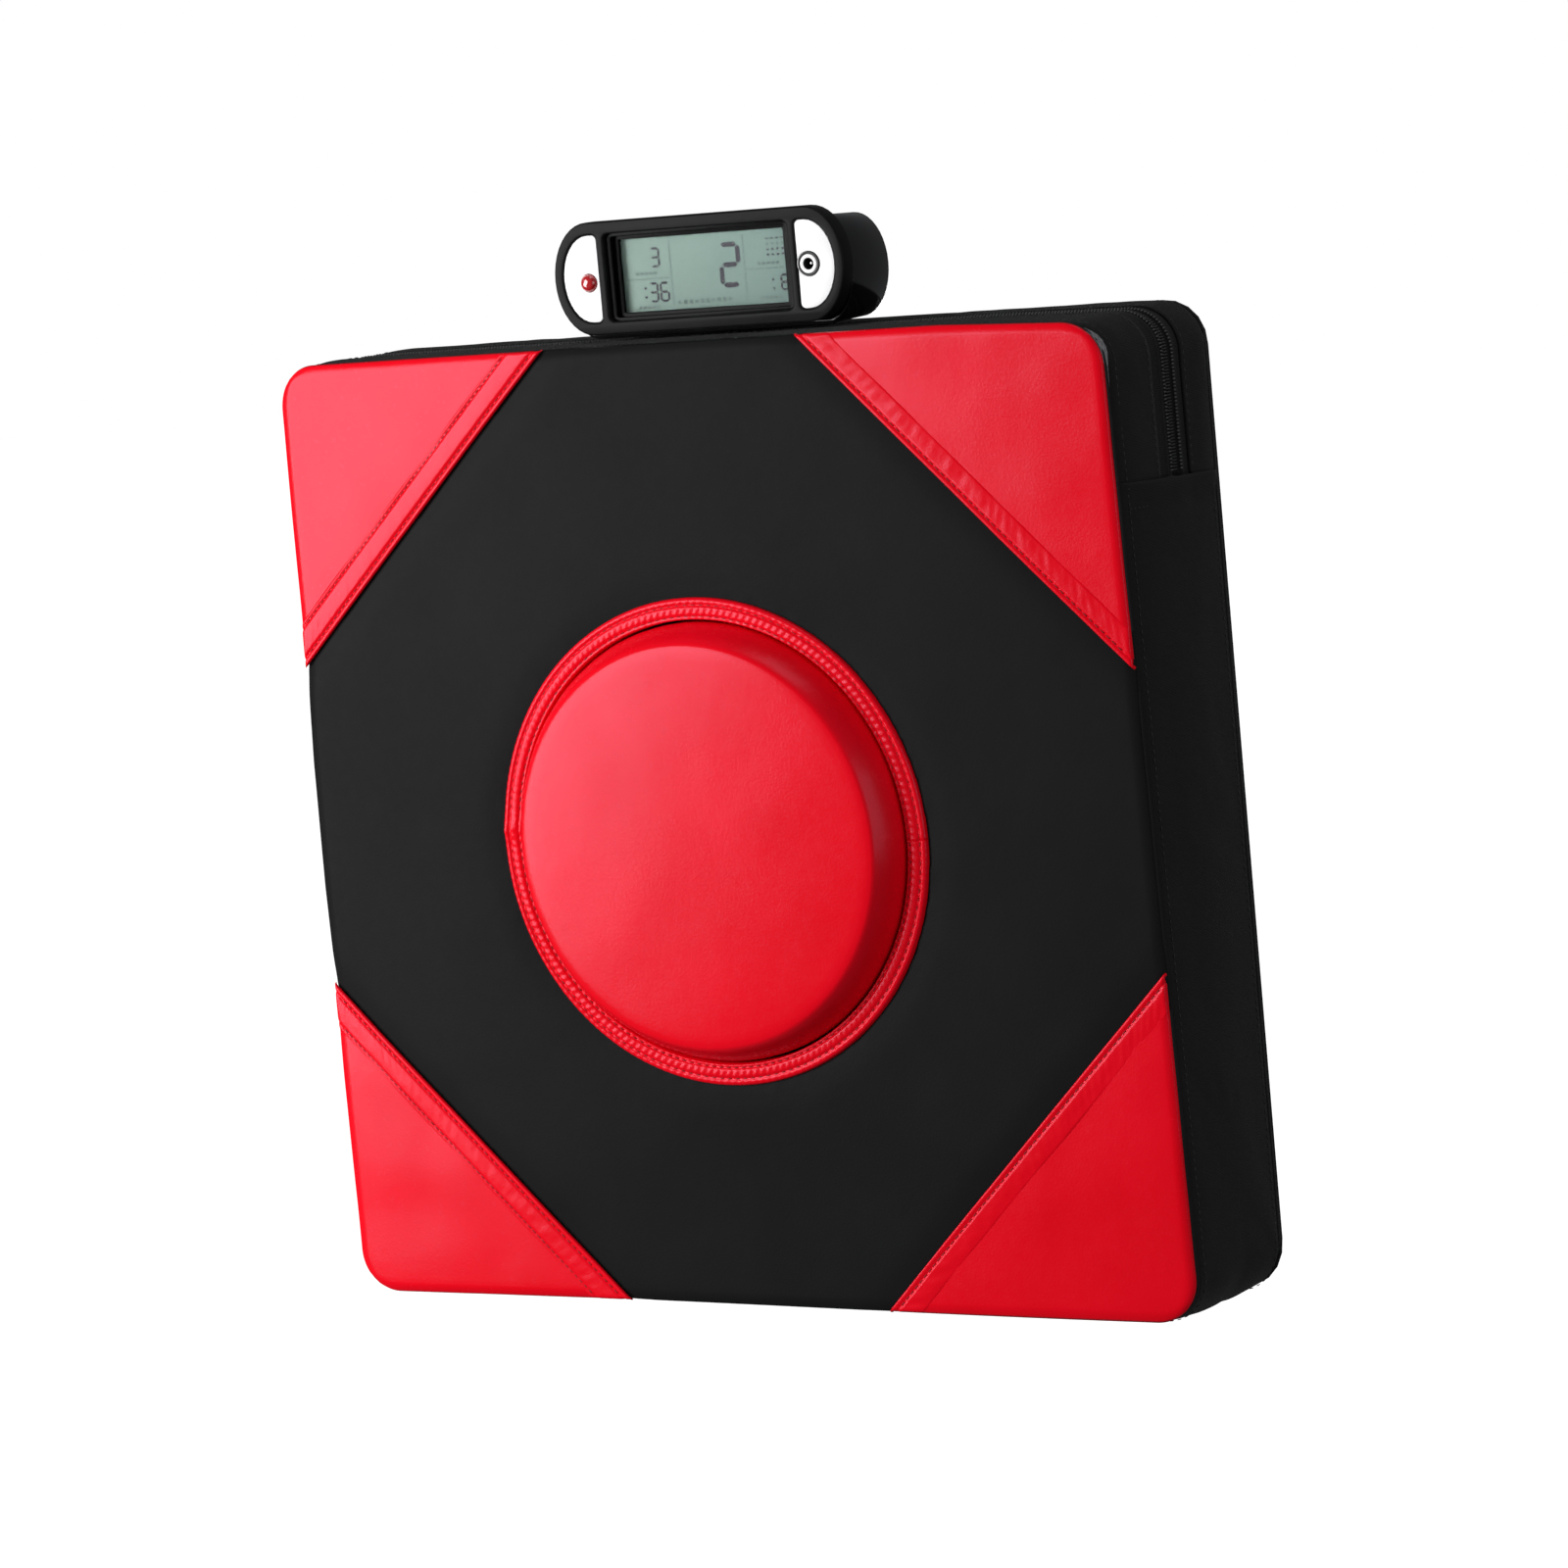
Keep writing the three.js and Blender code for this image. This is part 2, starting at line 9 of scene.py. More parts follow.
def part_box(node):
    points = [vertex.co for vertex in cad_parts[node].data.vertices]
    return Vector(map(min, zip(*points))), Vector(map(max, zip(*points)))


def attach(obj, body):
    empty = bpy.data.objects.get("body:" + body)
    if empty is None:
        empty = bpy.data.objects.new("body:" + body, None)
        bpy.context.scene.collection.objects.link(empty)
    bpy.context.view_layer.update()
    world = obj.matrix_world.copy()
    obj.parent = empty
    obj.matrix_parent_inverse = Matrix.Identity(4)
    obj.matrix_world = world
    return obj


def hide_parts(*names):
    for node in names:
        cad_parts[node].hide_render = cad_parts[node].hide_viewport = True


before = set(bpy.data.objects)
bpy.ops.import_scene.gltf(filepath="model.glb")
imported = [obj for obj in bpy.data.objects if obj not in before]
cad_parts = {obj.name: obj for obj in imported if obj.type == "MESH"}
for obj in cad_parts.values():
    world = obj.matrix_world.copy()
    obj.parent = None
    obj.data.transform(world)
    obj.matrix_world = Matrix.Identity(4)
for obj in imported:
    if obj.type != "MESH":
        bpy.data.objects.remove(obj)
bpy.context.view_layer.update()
mm = 0.001
print("frame loaded:", len(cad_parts), "nodes")

# places taken from the frame
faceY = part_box("corner_patch_top_left")[0].y
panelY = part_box("front_panel")[0].y
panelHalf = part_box("corner_patch_top_right")[1].x
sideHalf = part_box("lower_side_band")[1].x
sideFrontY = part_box("lower_side_band")[0].y
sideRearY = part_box("lower_side_band")[1].y
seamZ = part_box("lower_side_band")[1].z
ringLow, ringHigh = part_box("target_ring")
targetX = (ringLow.x + ringHigh.x) / 2
targetZ = (ringLow.z + ringHigh.z) / 2
ringOuter = (ringHigh.z - ringLow.z) / 2
padCorner = 18 * mm
faceCorner = 18.4 * mm


# small tools
def newMesh(name, bm, material, smooth=True):
    mesh = bpy.data.meshes.new(name)
    bm.to_mesh(mesh)
    bm.free()
    for face in mesh.polygons:
        face.use_smooth = smooth
    piece = bpy.data.objects.new(name, mesh)
    bpy.context.collection.objects.link(piece)
    mesh.materials.append(material)
    return piece


def fit(piece, body, slotName, *nodes):
    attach(piece, body)
    if nodes:
        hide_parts(*nodes)


# the mesh that a curve makes, ready for mesh operators; the curve itself goes
def curveMesh(curve):
    holder = bpy.data.objects.new("outline", curve)
    bpy.context.collection.objects.link(holder)
    graph = bpy.context.evaluated_depsgraph_get()
    mesh = bpy.data.meshes.new_from_object(holder.evaluated_get(graph), depsgraph=graph)
    bpy.data.objects.remove(holder)
    bm = bmesh.new()
    bm.from_mesh(mesh)
    bpy.data.meshes.remove(mesh)
    return bm


# faces of an open sheet all turned to the front
def faceFront(bm):
    bmesh.ops.recalc_face_normals(bm, faces=bm.faces)
    if sum(face.normal.y * face.calc_area() for face in bm.faces) > 0:
        bmesh.ops.reverse_faces(bm, faces=bm.faces)


def edgesOf(verts):
    return list({edge for vertex in verts for edge in vertex.link_edges})


# a profile of (radius, depth) pairs turned about the axis that runs along Y through (x, z)
def spinProfile(x, z, profile, sides, weld):
    bm = bmesh.new()
    points = [bm.verts.new((x + radius, depth, z)) for radius, depth in profile]
    edges = [bm.edges.new(pair) for pair in zip(points, points[1:])]
    bmesh.ops.spin(bm, geom=points + edges, cent=(x, 0, z), axis=(0, 1, 0), angle=2 * math.pi,
                   steps=sides, use_merge=True)
    bmesh.ops.remove_doubles(bm, verts=bm.verts, dist=weld)
    bmesh.ops.recalc_face_normals(bm, faces=bm.faces)
    return bm


def clamp(value):
    return min(1, max(0, value))


# how far a surface falls away in a round edge: the whole drop at the edge, nothing a reach away from it
def rollOff(fromEdge, reach, drop):
    near = max(0, 1 - max(0, fromEdge) / reach)
    return drop * (1 - math.sqrt(max(0, 1 - near * near)))


# a grid from 0 to 1 both ways, to be laid over a piece
def unitGrid(columns, rows):
    bm = bmesh.new()
    middle = Matrix.Translation((0.5, 0.5, 0))
    bmesh.ops.create_grid(bm, x_segments=columns, y_segments=rows, size=0.5, matrix=middle)
    return bm


def thicken(piece, thickness):
    wall = piece.modifiers.new("wall", "SOLIDIFY")
    wall.thickness = thickness
    wall.offset = -1


def smoothMore(piece):
    finer = piece.modifiers.new("finer", "SUBSURF")
    finer.levels = finer.render_levels = 1
    return piece


def hump(distance, reach):
    return math.exp(-(distance / reach) ** 2)


def ripple(x, y, z, size, seed=0):
    return noise.noise(Vector((x / size + seed * 7.3, y / size, z / size)))


# beads is used for stitches and zip teeth: one small rounded rod at each place
def beads(name, places, size, material):
    one = bmesh.new()
    bmesh.ops.create_uvsphere(one, u_segments=6, v_segments=5, radius=1)
    bead = bpy.data.meshes.new("bead")
    one.to_mesh(bead)
    one.free()
    bm = bmesh.new()
    for spot, along, out in places:
        across = out.cross(along).normalized()
        turn = Matrix((along.normalized(), across, out.normalized())).transposed().to_4x4()
        copy = bead.copy()
        copy.transform(Matrix.Translation(spot) @ turn @ Matrix.Diagonal((*size, 1)))
        bm.from_mesh(copy)
        bpy.data.meshes.remove(copy)
    bpy.data.meshes.remove(bead)
    return newMesh(name, bm, material)


# how the filled cover has settled, in millimetres at its edges: it is narrower at the top of the front,
# fuller at the bottom, and hangs a little below the board at the bottom right
settle = {
    "right": (-0.1, -0.0177),  # outwards at mid height, and more for each millimetre up
    "left": (-0.55, -0.0128),
    "leftMost": 0.6,
    "hangFront": 0.9,
    "hangRear": 6.2,
    "cornerDip": 2.2,
}


def settled(spot):
    x, y, z = spot
    share = clamp((y - sideRearY) / (sideFrontY - sideRearY))
    reach = min(1.05, abs(x) / sideHalf) ** 3 * share ** 2
    if x > 0:
        newX = x + reach * (settle["right"][0] * mm + settle["right"][1] * z)
    else:
        newX = x - reach * min(settle["leftMost"] * mm, settle["left"][0] * mm + settle["left"][1] * z)
    toRight = clamp((x + 120 * mm) / (300 * mm))
    toRight *= toRight * (3 - 2 * toRight)
    low = min(1.05, max(0, -z) / sideHalf) ** 3
    fromFace = clamp((y - faceY) / (sideRearY - faceY))
    newZ = z - low * toRight * (settle["hangFront"] + settle["hangRear"] * fromFace ** 0.4) * mm
    top = min(1.05, max(0, z) / sideHalf) ** 3
    newZ -= top * share * settle["cornerDip"] * mm * clamp((x - 125 * mm) / (60 * mm))
    return Vector((newX, y, newZ))


def settleMesh(piece):
    for vertex in piece.data.vertices:
        vertex.co = settled(vertex.co)
    return piece


# node helpers
def newMaterial(name):
    material = bpy.data.materials.new(name)
    material.use_nodes = True
    return material, material.node_tree, material.node_tree.nodes["Principled BSDF"]


def link(tree, source, target):
    tree.links.new(source, target)


def sockets(node, values):
    for name, value in values.items():
        node.inputs[name].default_value = value


def coordinates(tree, uvName=None):
    if uvName:
        node = tree.nodes.new("ShaderNodeUVMap")
        node.uv_map = uvName
        return node.outputs["UV"]
    return tree.nodes.new("ShaderNodeTexCoord").outputs["Object"]


def noiseNode(tree, where, scale, detail=3, roughness=0.5):
    node = tree.nodes.new("ShaderNodeTexNoise")
    sockets(node, {"Scale": scale, "Detail": detail, "Roughness": roughness})
    link(tree, where, node.inputs["Vector"])
    return node.outputs["Fac"]


def cellNode(tree, where, scale):
    node = tree.nodes.new("ShaderNodeTexVoronoi")
    sockets(node, {"Scale": scale})
    link(tree, where, node.inputs["Vector"])
    return node.outputs["Distance"]


def spread(tree, value, low, high):
    node = tree.nodes.new("ShaderNodeMapRange")
    sockets(node, {"To Min": low, "To Max": high})
    link(tree, value, node.inputs["Value"])
    return node.outputs["Result"]


def sums(tree, operation, first, second):
    node = tree.nodes.new("ShaderNodeMath")
    node.operation = operation
    for socket, value in zip(node.inputs, (first, second)):
        if isinstance(value, (int, float)):
            socket.default_value = value
        else:
            link(tree, value, socket)
    return node.outputs[0]


def colourRange(tree, value, dark, light, start=0.3, end=0.7):
    node = tree.nodes.new("ShaderNodeValToRGB")
    node.color_ramp.elements[0].color = (*dark, 1)
    node.color_ramp.elements[0].position = start
    node.color_ramp.elements[1].color = (*light, 1)
    node.color_ramp.elements[1].position = end
    link(tree, value, node.inputs["Fac"])
    return node.outputs["Color"]


def bump(tree, height, depth, strength=1.0, under=None):
    node = tree.nodes.new("ShaderNodeBump")
    sockets(node, {"Distance": depth, "Strength": strength})
    link(tree, height, node.inputs["Height"])
    if under is not None:
        link(tree, under, node.inputs["Normal"])
    return node.outputs["Normal"]


# materials
# coated fabric: a smooth coat with a fine grain, soft waves and slightly uneven gloss
def coatedLeather(name, dark, light, rough, shine, tint=(1, 1, 1)):
    material, tree, shader = newMaterial(name)
    where = coordinates(tree)
    patches = noiseNode(tree, where, 18, 4)
    link(tree, colourRange(tree, patches, dark, light), shader.inputs["Base Color"])
    gloss = noiseNode(tree, where, 240, 4)
    link(tree, spread(tree, gloss, rough - 0.05, rough + 0.05), shader.inputs["Roughness"])
    waves = bump(tree, noiseNode(tree, where, 45, 2), 0.35 * mm, 0.5)
    pores = bump(tree, cellNode(tree, where, 950), 0.06 * mm, 0.45, waves)
    grain = bump(tree, noiseNode(tree, where, 2600, 3), 0.03 * mm, 0.4, pores)
    link(tree, grain, shader.inputs["Normal"])
    sockets(shader, {"Specular IOR Level": shine, "Specular Tint": (*tint, 1)})
    return material


# plain weave, with the threads running along and across the piece's own map, in metres
def wovenCloth(name, dark, light, pitch):
    material, tree, shader = newMaterial(name)
    where = coordinates(tree, "cloth")
    split = tree.nodes.new("ShaderNodeSeparateXYZ")
    link(tree, where, split.inputs[0])
    turns = math.pi / pitch
    alongWave = sums(tree, "SINE", sums(tree, "MULTIPLY", split.outputs["X"], turns), 0)
    acrossWave = sums(tree, "SINE", sums(tree, "MULTIPLY", split.outputs["Y"], turns), 0)
    weave = sums(tree, "MULTIPLY", alongWave, acrossWave)
    alongThread, acrossThread = (sums(tree, "ABSOLUTE", wave, 0) for wave in (alongWave, acrossWave))
    threads = sums(tree, "MULTIPLY", alongThread, acrossThread)
    relief = sums(tree, "ADD", spread(tree, weave, 0, 0.5), threads)
    fuzz = noiseNode(tree, coordinates(tree), 420, 5, 0.65)
    # the colour is painted lighter on the thread crowns and darker in the gaps between them, which is
    # painted shade in the weave's hollows, with random fuzz over it
    tone = sums(tree, "MULTIPLY", sums(tree, "ADD", threads, fuzz), 0.5)
    link(tree, colourRange(tree, tone, dark, light, 0.2, 0.8), shader.inputs["Base Color"])
    link(tree, spread(tree, fuzz, 0.77, 0.95), shader.inputs["Roughness"])
    weaveBump = bump(tree, relief, 0.12 * mm, 0.8)
    link(tree, bump(tree, fuzz, 0.1 * mm, 0.5, weaveBump), shader.inputs["Normal"])
    sockets(shader, {"Sheen Weight": 0.06, "Sheen Roughness": 0.5, "Specular IOR Level": 0.12})
    return material


# moulded plastic: faint flow marks and a fine spark-eroded texture
def mouldedPlastic(name, colour, rough, texture=0.02 * mm, coat=0.0, scale=1800, lift=1.25, shine=0.5):
    material, tree, shader = newMaterial(name)
    where = coordinates(tree)
    tone = noiseNode(tree, where, 60, 3)
    lighter = [min(1, part * lift + 0.001) for part in colour]
    link(tree, colourRange(tree, tone, colour, lighter), shader.inputs["Base Color"])
    gloss = noiseNode(tree, where, 500, 3)
    link(tree, spread(tree, gloss, rough * 0.85, rough * 1.2), shader.inputs["Roughness"])
    link(tree, bump(tree, noiseNode(tree, where, scale, 2), texture, 0.5), shader.inputs["Normal"])
    sockets(shader, {"Specular IOR Level": shine, "Coat Weight": coat, "Coat Roughness": 0.05})
    return material


def metal(name, colour, rough, brush=1):
    material, tree, shader = newMaterial(name)
    where = coordinates(tree)
    stretch = tree.nodes.new("ShaderNodeMapping")
    sockets(stretch, {"Scale": (brush, 1, 1)})
    link(tree, where, stretch.inputs["Vector"])
    lines = noiseNode(tree, stretch.outputs["Vector"], 900, 4)
    darker = [part * 0.8 for part in colour]
    link(tree, colourRange(tree, lines, darker, colour), shader.inputs["Base Color"])
    link(tree, spread(tree, lines, rough - 0.08, rough + 0.08), shader.inputs["Roughness"])
    link(tree, bump(tree, lines, 0.02 * mm, 0.4), shader.inputs["Normal"])
    sockets(shader, {"Metallic": 1})
    return material


def foamBlock(name, dark, light):
    material, tree, shader = newMaterial(name)
    where = coordinates(tree)
    cells = cellNode(tree, where, 700)
    # the colour is painted darker in the cell hollows that the bump makes, which is painted shade in the
    # pores
    link(tree, colourRange(tree, cells, dark, light, 0.1, 0.6), shader.inputs["Base Color"])
    link(tree, bump(tree, cells, 0.3 * mm, 0.8), shader.inputs["Normal"])
    sockets(shader, {"Roughness": 0.95})
    return material


def plywood(name, dark, light):
    material, tree, shader = newMaterial(name)
    stretch = tree.nodes.new("ShaderNodeMapping")
    sockets(stretch, {"Scale": (9, 9, 0.8)})
    link(tree, coordinates(tree), stretch.inputs["Vector"])
    rings = noiseNode(tree, stretch.outputs["Vector"], 22, 6, 0.6)
    link(tree, colourRange(tree, rings, dark, light), shader.inputs["Base Color"])
    link(tree, bump(tree, rings, 0.2 * mm, 0.5), shader.inputs["Normal"])
    sockets(shader, {"Roughness": 0.7})
    return material


def clearSheet(name):
    material, tree, shader = newMaterial(name)
    where = coordinates(tree)
    link(tree, spread(tree, noiseNode(tree, where, 400, 2), 0.0, 0.008), shader.inputs["Roughness"])
    sockets(shader, {"Base Color": (0.97, 0.99, 0.98, 1), "IOR": 1.06, "Transmission Weight": 1})
    return material


# LCD panel: its colour is painted lighter at the left and darker at the right, a painted light-and-shade
# gradient, with a faint random cloud over it
def lcdGlass(name):
    material, tree, shader = newMaterial(name)
    where = coordinates(tree)
    split = tree.nodes.new("ShaderNodeSeparateXYZ")
    link(tree, where, split.inputs[0])
    paintedLightSlope = sums(tree, "ADD", sums(tree, "MULTIPLY", split.outputs["X"], 5), 0.5)
    paintedLightAndCloud = sums(tree, "ADD", paintedLightSlope, sums(tree, "MULTIPLY", noiseNode(tree, where, 60, 2), 0.25))
    # the left colour is the painted lit side, the right colour the painted shaded side
    left, right = (0.25, 0.33, 0.285), (0.165, 0.235, 0.225)
    link(tree, colourRange(tree, paintedLightAndCloud, left, right, 0.2, 1.0), shader.inputs["Base Color"])
    link(tree, spread(tree, noiseNode(tree, where, 900, 2), 0.25, 0.35), shader.inputs["Roughness"])
    link(tree, bump(tree, noiseNode(tree, where, 4000, 2), 0.01 * mm, 0.3), shader.inputs["Normal"])
    sockets(shader, {"Specular IOR Level": 0.03})
    return material


redLeather = coatedLeather("redLeather", (0.74, 0.001, 0.008), (0.80, 0.002, 0.012), 0.26, 0.165,
                           (1, 0.72, 1))
blackLeather = coatedLeather("blackLeather", (0.0098, 0.0098, 0.0103), (0.0118, 0.0118, 0.0123), 0.42, 0.022)
blackPiping = coatedLeather("blackPiping", (0.005, 0.005, 0.006), (0.009, 0.009, 0.01), 0.5, 0.15)
zipThread = mouldedPlastic("zipThread", (0.05, 0.05, 0.052), 0.45, 0.02 * mm, scale=2500)
sideCloth = wovenCloth("sideCloth", (0.0036, 0.0036, 0.004), (0.0126, 0.0121, 0.0134), 0.62 * mm)
zipTape = wovenCloth("zipTape", (0.003, 0.003, 0.0035), (0.010, 0.010, 0.011), 0.9 * mm)
rearCloth = wovenCloth("rearCloth", (0.008, 0.008, 0.009), (0.026, 0.026, 0.027), 0.8 * mm)
redThread = mouldedPlastic("redThread", (0.22, 0.0, 0.004), 0.8, 0.03 * mm, scale=3500)
blackThread = mouldedPlastic("blackThread", (0.012, 0.012, 0.013), 0.6, 0.03 * mm, scale=3500)
zipNylon = mouldedPlastic("zipNylon", (0.010, 0.010, 0.011), 0.42)
satinCase = mouldedPlastic("satinCase", (0.008, 0.008, 0.0085), 0.3, 0.002 * mm, shine=0.04)
glossCase = mouldedPlastic("glossCase", (0.003, 0.003, 0.0035), 0.12, 0.003 * mm, 0.0, 300)
innerBlack = mouldedPlastic("innerBlack", (0.002, 0.002, 0.0025), 0.28, 0.01 * mm, shine=0.04)
whitePlate = mouldedPlastic("whitePlate", (0.95, 0.95, 0.95), 0.38, 0.006 * mm, lift=1.01)
redButton = mouldedPlastic("redButton", (0.42, 0.012, 0.016), 0.12, 0.004 * mm, 1.0, 400)
sockets(redButton.node_tree.nodes["Principled BSDF"], {"Subsurface Weight": 0.2})
mattBlack = mouldedPlastic("mattBlack", (0.016, 0.016, 0.017), 0.6, 0.03 * mm)
inkGrey = mouldedPlastic("inkGrey", (0.055, 0.05, 0.062), 0.5, 0.002 * mm, shine=0.03)
paleInk = mouldedPlastic("paleInk", (0.12, 0.155, 0.15), 0.5, 0.002 * mm, shine=0.03)
screwSteel = metal("screwSteel", (0.52, 0.52, 0.54), 0.3)
blackMetal = metal("blackMetal", (0.06, 0.06, 0.065), 0.36, 6)
padFoam = foamBlock("padFoam", (0.10, 0.10, 0.11), (0.2, 0.2, 0.21))
boardWood = plywood("boardWood", (0.30, 0.18, 0.08), (0.5, 0.34, 0.17))
clearWindow = clearSheet("clearWindow")
lcdBack = lcdGlass("lcdBack")
circuitGreen = mouldedPlastic("circuitGreen", (0.01, 0.09, 0.03), 0.35, 0.02 * mm, 0.3)
cellBlue = mouldedPlastic("cellBlue", (0.03, 0.08, 0.3), 0.3, 0.02 * mm, 0.4)
print("materials made")


# camera, light and floor
viewpoint = {
    "turn": 31.35,  # degrees to the right of the face's square-on view
    "rise": 7.0,
    "roll": -5.3,
    "distance": 2.393,
    "aim": (0.0348, 0.0179),
    "lens": 134.7,
}


def makeCamera():
    turn, rise, roll = (math.radians(viewpoint[key]) for key in ("turn", "rise", "roll"))
    back = Vector((math.sin(turn) * math.cos(rise), -math.cos(turn) * math.cos(rise), math.sin(rise)))
    right = (-back).cross(Vector((0, 0, 1))).normalized()
    up = right.cross(-back)
    tiltedRight = right * math.cos(roll) + up * math.sin(roll)
    tiltedUp = up * math.cos(roll) - right * math.sin(roll)
    aim = Vector((viewpoint["aim"][0], faceY, viewpoint["aim"][1]))
    lens = bpy.data.cameras.new("camera")
    lens.lens = viewpoint["lens"]
    lens.sensor_width = 36
    lens.clip_start = 0.05
    camera = bpy.data.objects.new("camera", lens)
    camera.matrix_world = Matrix.Translation(aim + back * viewpoint["distance"]) @ Matrix(
        (tiltedRight, tiltedUp, back)).transposed().to_4x4()
    bpy.context.collection.objects.link(camera)
    bpy.context.scene.camera = camera


def areaLight(name, place, target, size, power, turn=0.0):
    lamp = bpy.data.lights.new(name, "AREA")
    lamp.shape = "RECTANGLE"
    lamp.size, lamp.size_y = size
    lamp.energy = power
    light = bpy.data.objects.new(name, lamp)
    light.location = place
    aimed = (Vector(target) - Vector(place)).to_track_quat("-Z", "Y").to_matrix()
    light.rotation_euler = (aimed @ Matrix.Rotation(math.radians(turn), 3, "Z")).to_euler()
    bpy.context.collection.objects.link(light)


def makeStage():
    bm = bmesh.new()
    bmesh.ops.create_grid(bm, x_segments=1, y_segments=1, size=14, matrix=Matrix.Translation((0, 0, -0.75)))
    material, tree, shader = newMaterial("paleFloor")
    grain = noiseNode(tree, coordinates(tree), 3, 2)
    link(tree, colourRange(tree, grain, (0.86, 0.86, 0.86), (0.9, 0.9, 0.9)), shader.inputs["Base Color"])
    sockets(shader, {"Roughness": 0.9, "Emission Color": (1, 1, 1, 1), "Emission Strength": 1.0})
    floor = newMesh("floor", bm, material, False)
    floor.visible_glossy = False
    floor.visible_diffuse = False
    world = bpy.data.worlds.new("studio")
    world.use_nodes = True
    tree = world.node_tree
    backdrop = tree.nodes["Background"]
    sockets(backdrop, {"Color": (1, 1, 1, 1), "Strength": 1.0})
    fill = tree.nodes.new("ShaderNodeBackground")
    sockets(fill, {"Color": (0.95, 0.97, 1, 1), "Strength": 0.13})
    seen = tree.nodes.new("ShaderNodeLightPath")
    mix = tree.nodes.new("ShaderNodeMixShader")
    link(tree, seen.outputs["Is Camera Ray"], mix.inputs[0])
    link(tree, fill.outputs[0], mix.inputs[1])
    link(tree, backdrop.outputs[0], mix.inputs[2])
    link(tree, mix.outputs[0], tree.nodes["World Output"].inputs["Surface"])
    bpy.context.scene.world = world
    bpy.context.scene.view_settings.view_transform = "Standard"
    areaLight("keyLight", (-0.87, -1.03, 0.19), (-0.12, -0.09, 0.0), (0.66, 1.05), 23, -32)
    areaLight("fillLight", (1.5, -0.6, 0.2), (0, 0, 0), (1.0, 1.0), 6)
    areaLight("topLight", (0.4, -0.1, 1.7), (0.1, 0, 0.1), (1.0, 0.7), 5)
    areaLight("rearLight", (-0.75, 1.6, -0.35), (0, 0, 0), (0.9, 0.8), 40)


makeCamera()
makeStage()
print("camera and light placed")


# cloth simulation
swelling = {"frames": 16, "stiffness": 15}


# the piece swells under pressure with its pinned points held, and no point moves further than the cap
def swell(piece, pinned, pressure, cap):
    rest = [vertex.co.copy() for vertex in piece.data.vertices]
    held = piece.vertex_groups.new(name="held")
    held.add([i for i, co in enumerate(rest) if pinned(co)], 1, "REPLACE")
    cloth = piece.modifiers.new("cloth", "CLOTH")
    settings = cloth.settings
    settings.quality = 6
    settings.mass = 0.35
    settings.tension_stiffness = swelling["stiffness"]
    settings.compression_stiffness = swelling["stiffness"]
    settings.shear_stiffness = 6
    settings.bending_stiffness = 0.4
    settings.vertex_group_mass = "held"
    settings.use_pressure = True
    settings.uniform_pressure_force = pressure
    settings.effector_weights.gravity = 0
    cloth.collision_settings.use_collision = False
    cloth.collision_settings.use_self_collision = False
    scene = bpy.context.scene
    for step in range(1, swelling["frames"] + 1):
        scene.frame_set(step)
    graph = bpy.context.evaluated_depsgraph_get()
    moved = [vertex.co.copy() for vertex in piece.evaluated_get(graph).data.vertices]
    piece.modifiers.remove(cloth)
    piece.vertex_groups.remove(held)
    for vertex, start, end in zip(piece.data.vertices, rest, moved):
        shift = end - start
        if shift.length > cap:
            shift = shift.normalized() * cap
        vertex.co = start + shift
    scene.frame_set(1)


# front of the cover
cover = {
    "cell": 2.6 * mm,
    "crown": 1.6 * mm,
    "edgeRoll": 1.5 * mm,
    "edgeDrop": 1.3 * mm,
    "waves": 0.2 * mm,
    "hemWide": 14 * mm,
    "hemHigh": 0.65 * mm,
    "rowNear": 2.6 * mm,
    "rowFar": 12 * mm,
    "stitchPitch": 3.4 * mm,
    "leather": 1.1 * mm,
}


def edgeDistance(x, z, half, corner):
    inX = abs(x) - (half - corner)
    inZ = abs(z) - (half - corner)
    outside = math.hypot(max(inX, 0), max(inZ, 0))
    return corner - outside - min(max(inX, inZ), 0)


# depth of the padded face at a point, pulled back where it meets the side seam
def faceDepth(x, z, level):
    crown = cover["crown"] * (1 - (x / panelHalf) ** 4) * (1 - (z / panelHalf) ** 4)
    drop = rollOff(edgeDistance(x, z, panelHalf, faceCorner), cover["edgeRoll"], cover["edgeDrop"])
    wave = cover["waves"] * ripple(x, 0, z, 38 * mm, 3)
    return level - crown * 0.6 + drop + wave


def faceGrid(lowX, highX, lowZ, highZ, cell):
    bm = bmesh.new()
    columns = max(2, round((highX - lowX) / cell))
    rows = max(2, round((highZ - lowZ) / cell))
    middle = Matrix.Translation(((lowX + highX) / 2, 0, (lowZ + highZ) / 2))
    size = Matrix.Diagonal(((highX - lowX), 1, (highZ - lowZ), 1))
    upright = Matrix.Rotation(math.pi / 2, 4, "X")
    bmesh.ops.create_grid(bm, x_segments=columns, y_segments=rows, size=0.5, matrix=middle @ size @ upright)
    # the last row but one sits close to the edge, so that the face stays flat up to its rim
    for vertex in bm.verts:
        for axis in (0, 2):
            fromEdge = panelHalf - abs(vertex.co[axis])
            if 0.1 * mm < fromEdge < cell * 1.5:
                vertex.co[axis] = math.copysign(panelHalf - 0.7 * mm, vertex.co[axis])
    return bm


# the square corner of a grid turned into a round one
def roundCorner(x, z, half, corner):
    inX = abs(x) - (half - corner)
    inZ = abs(z) - (half - corner)
    if inX <= 0 or inZ <= 0:
        return x, z
    u, v = inX / corner, inZ / corner
    newX = half - corner + corner * u * math.sqrt(1 - v * v / 2)
    newZ = half - corner + corner * v * math.sqrt(1 - u * u / 2)
    return math.copysign(newX, x), math.copysign(newZ, z)


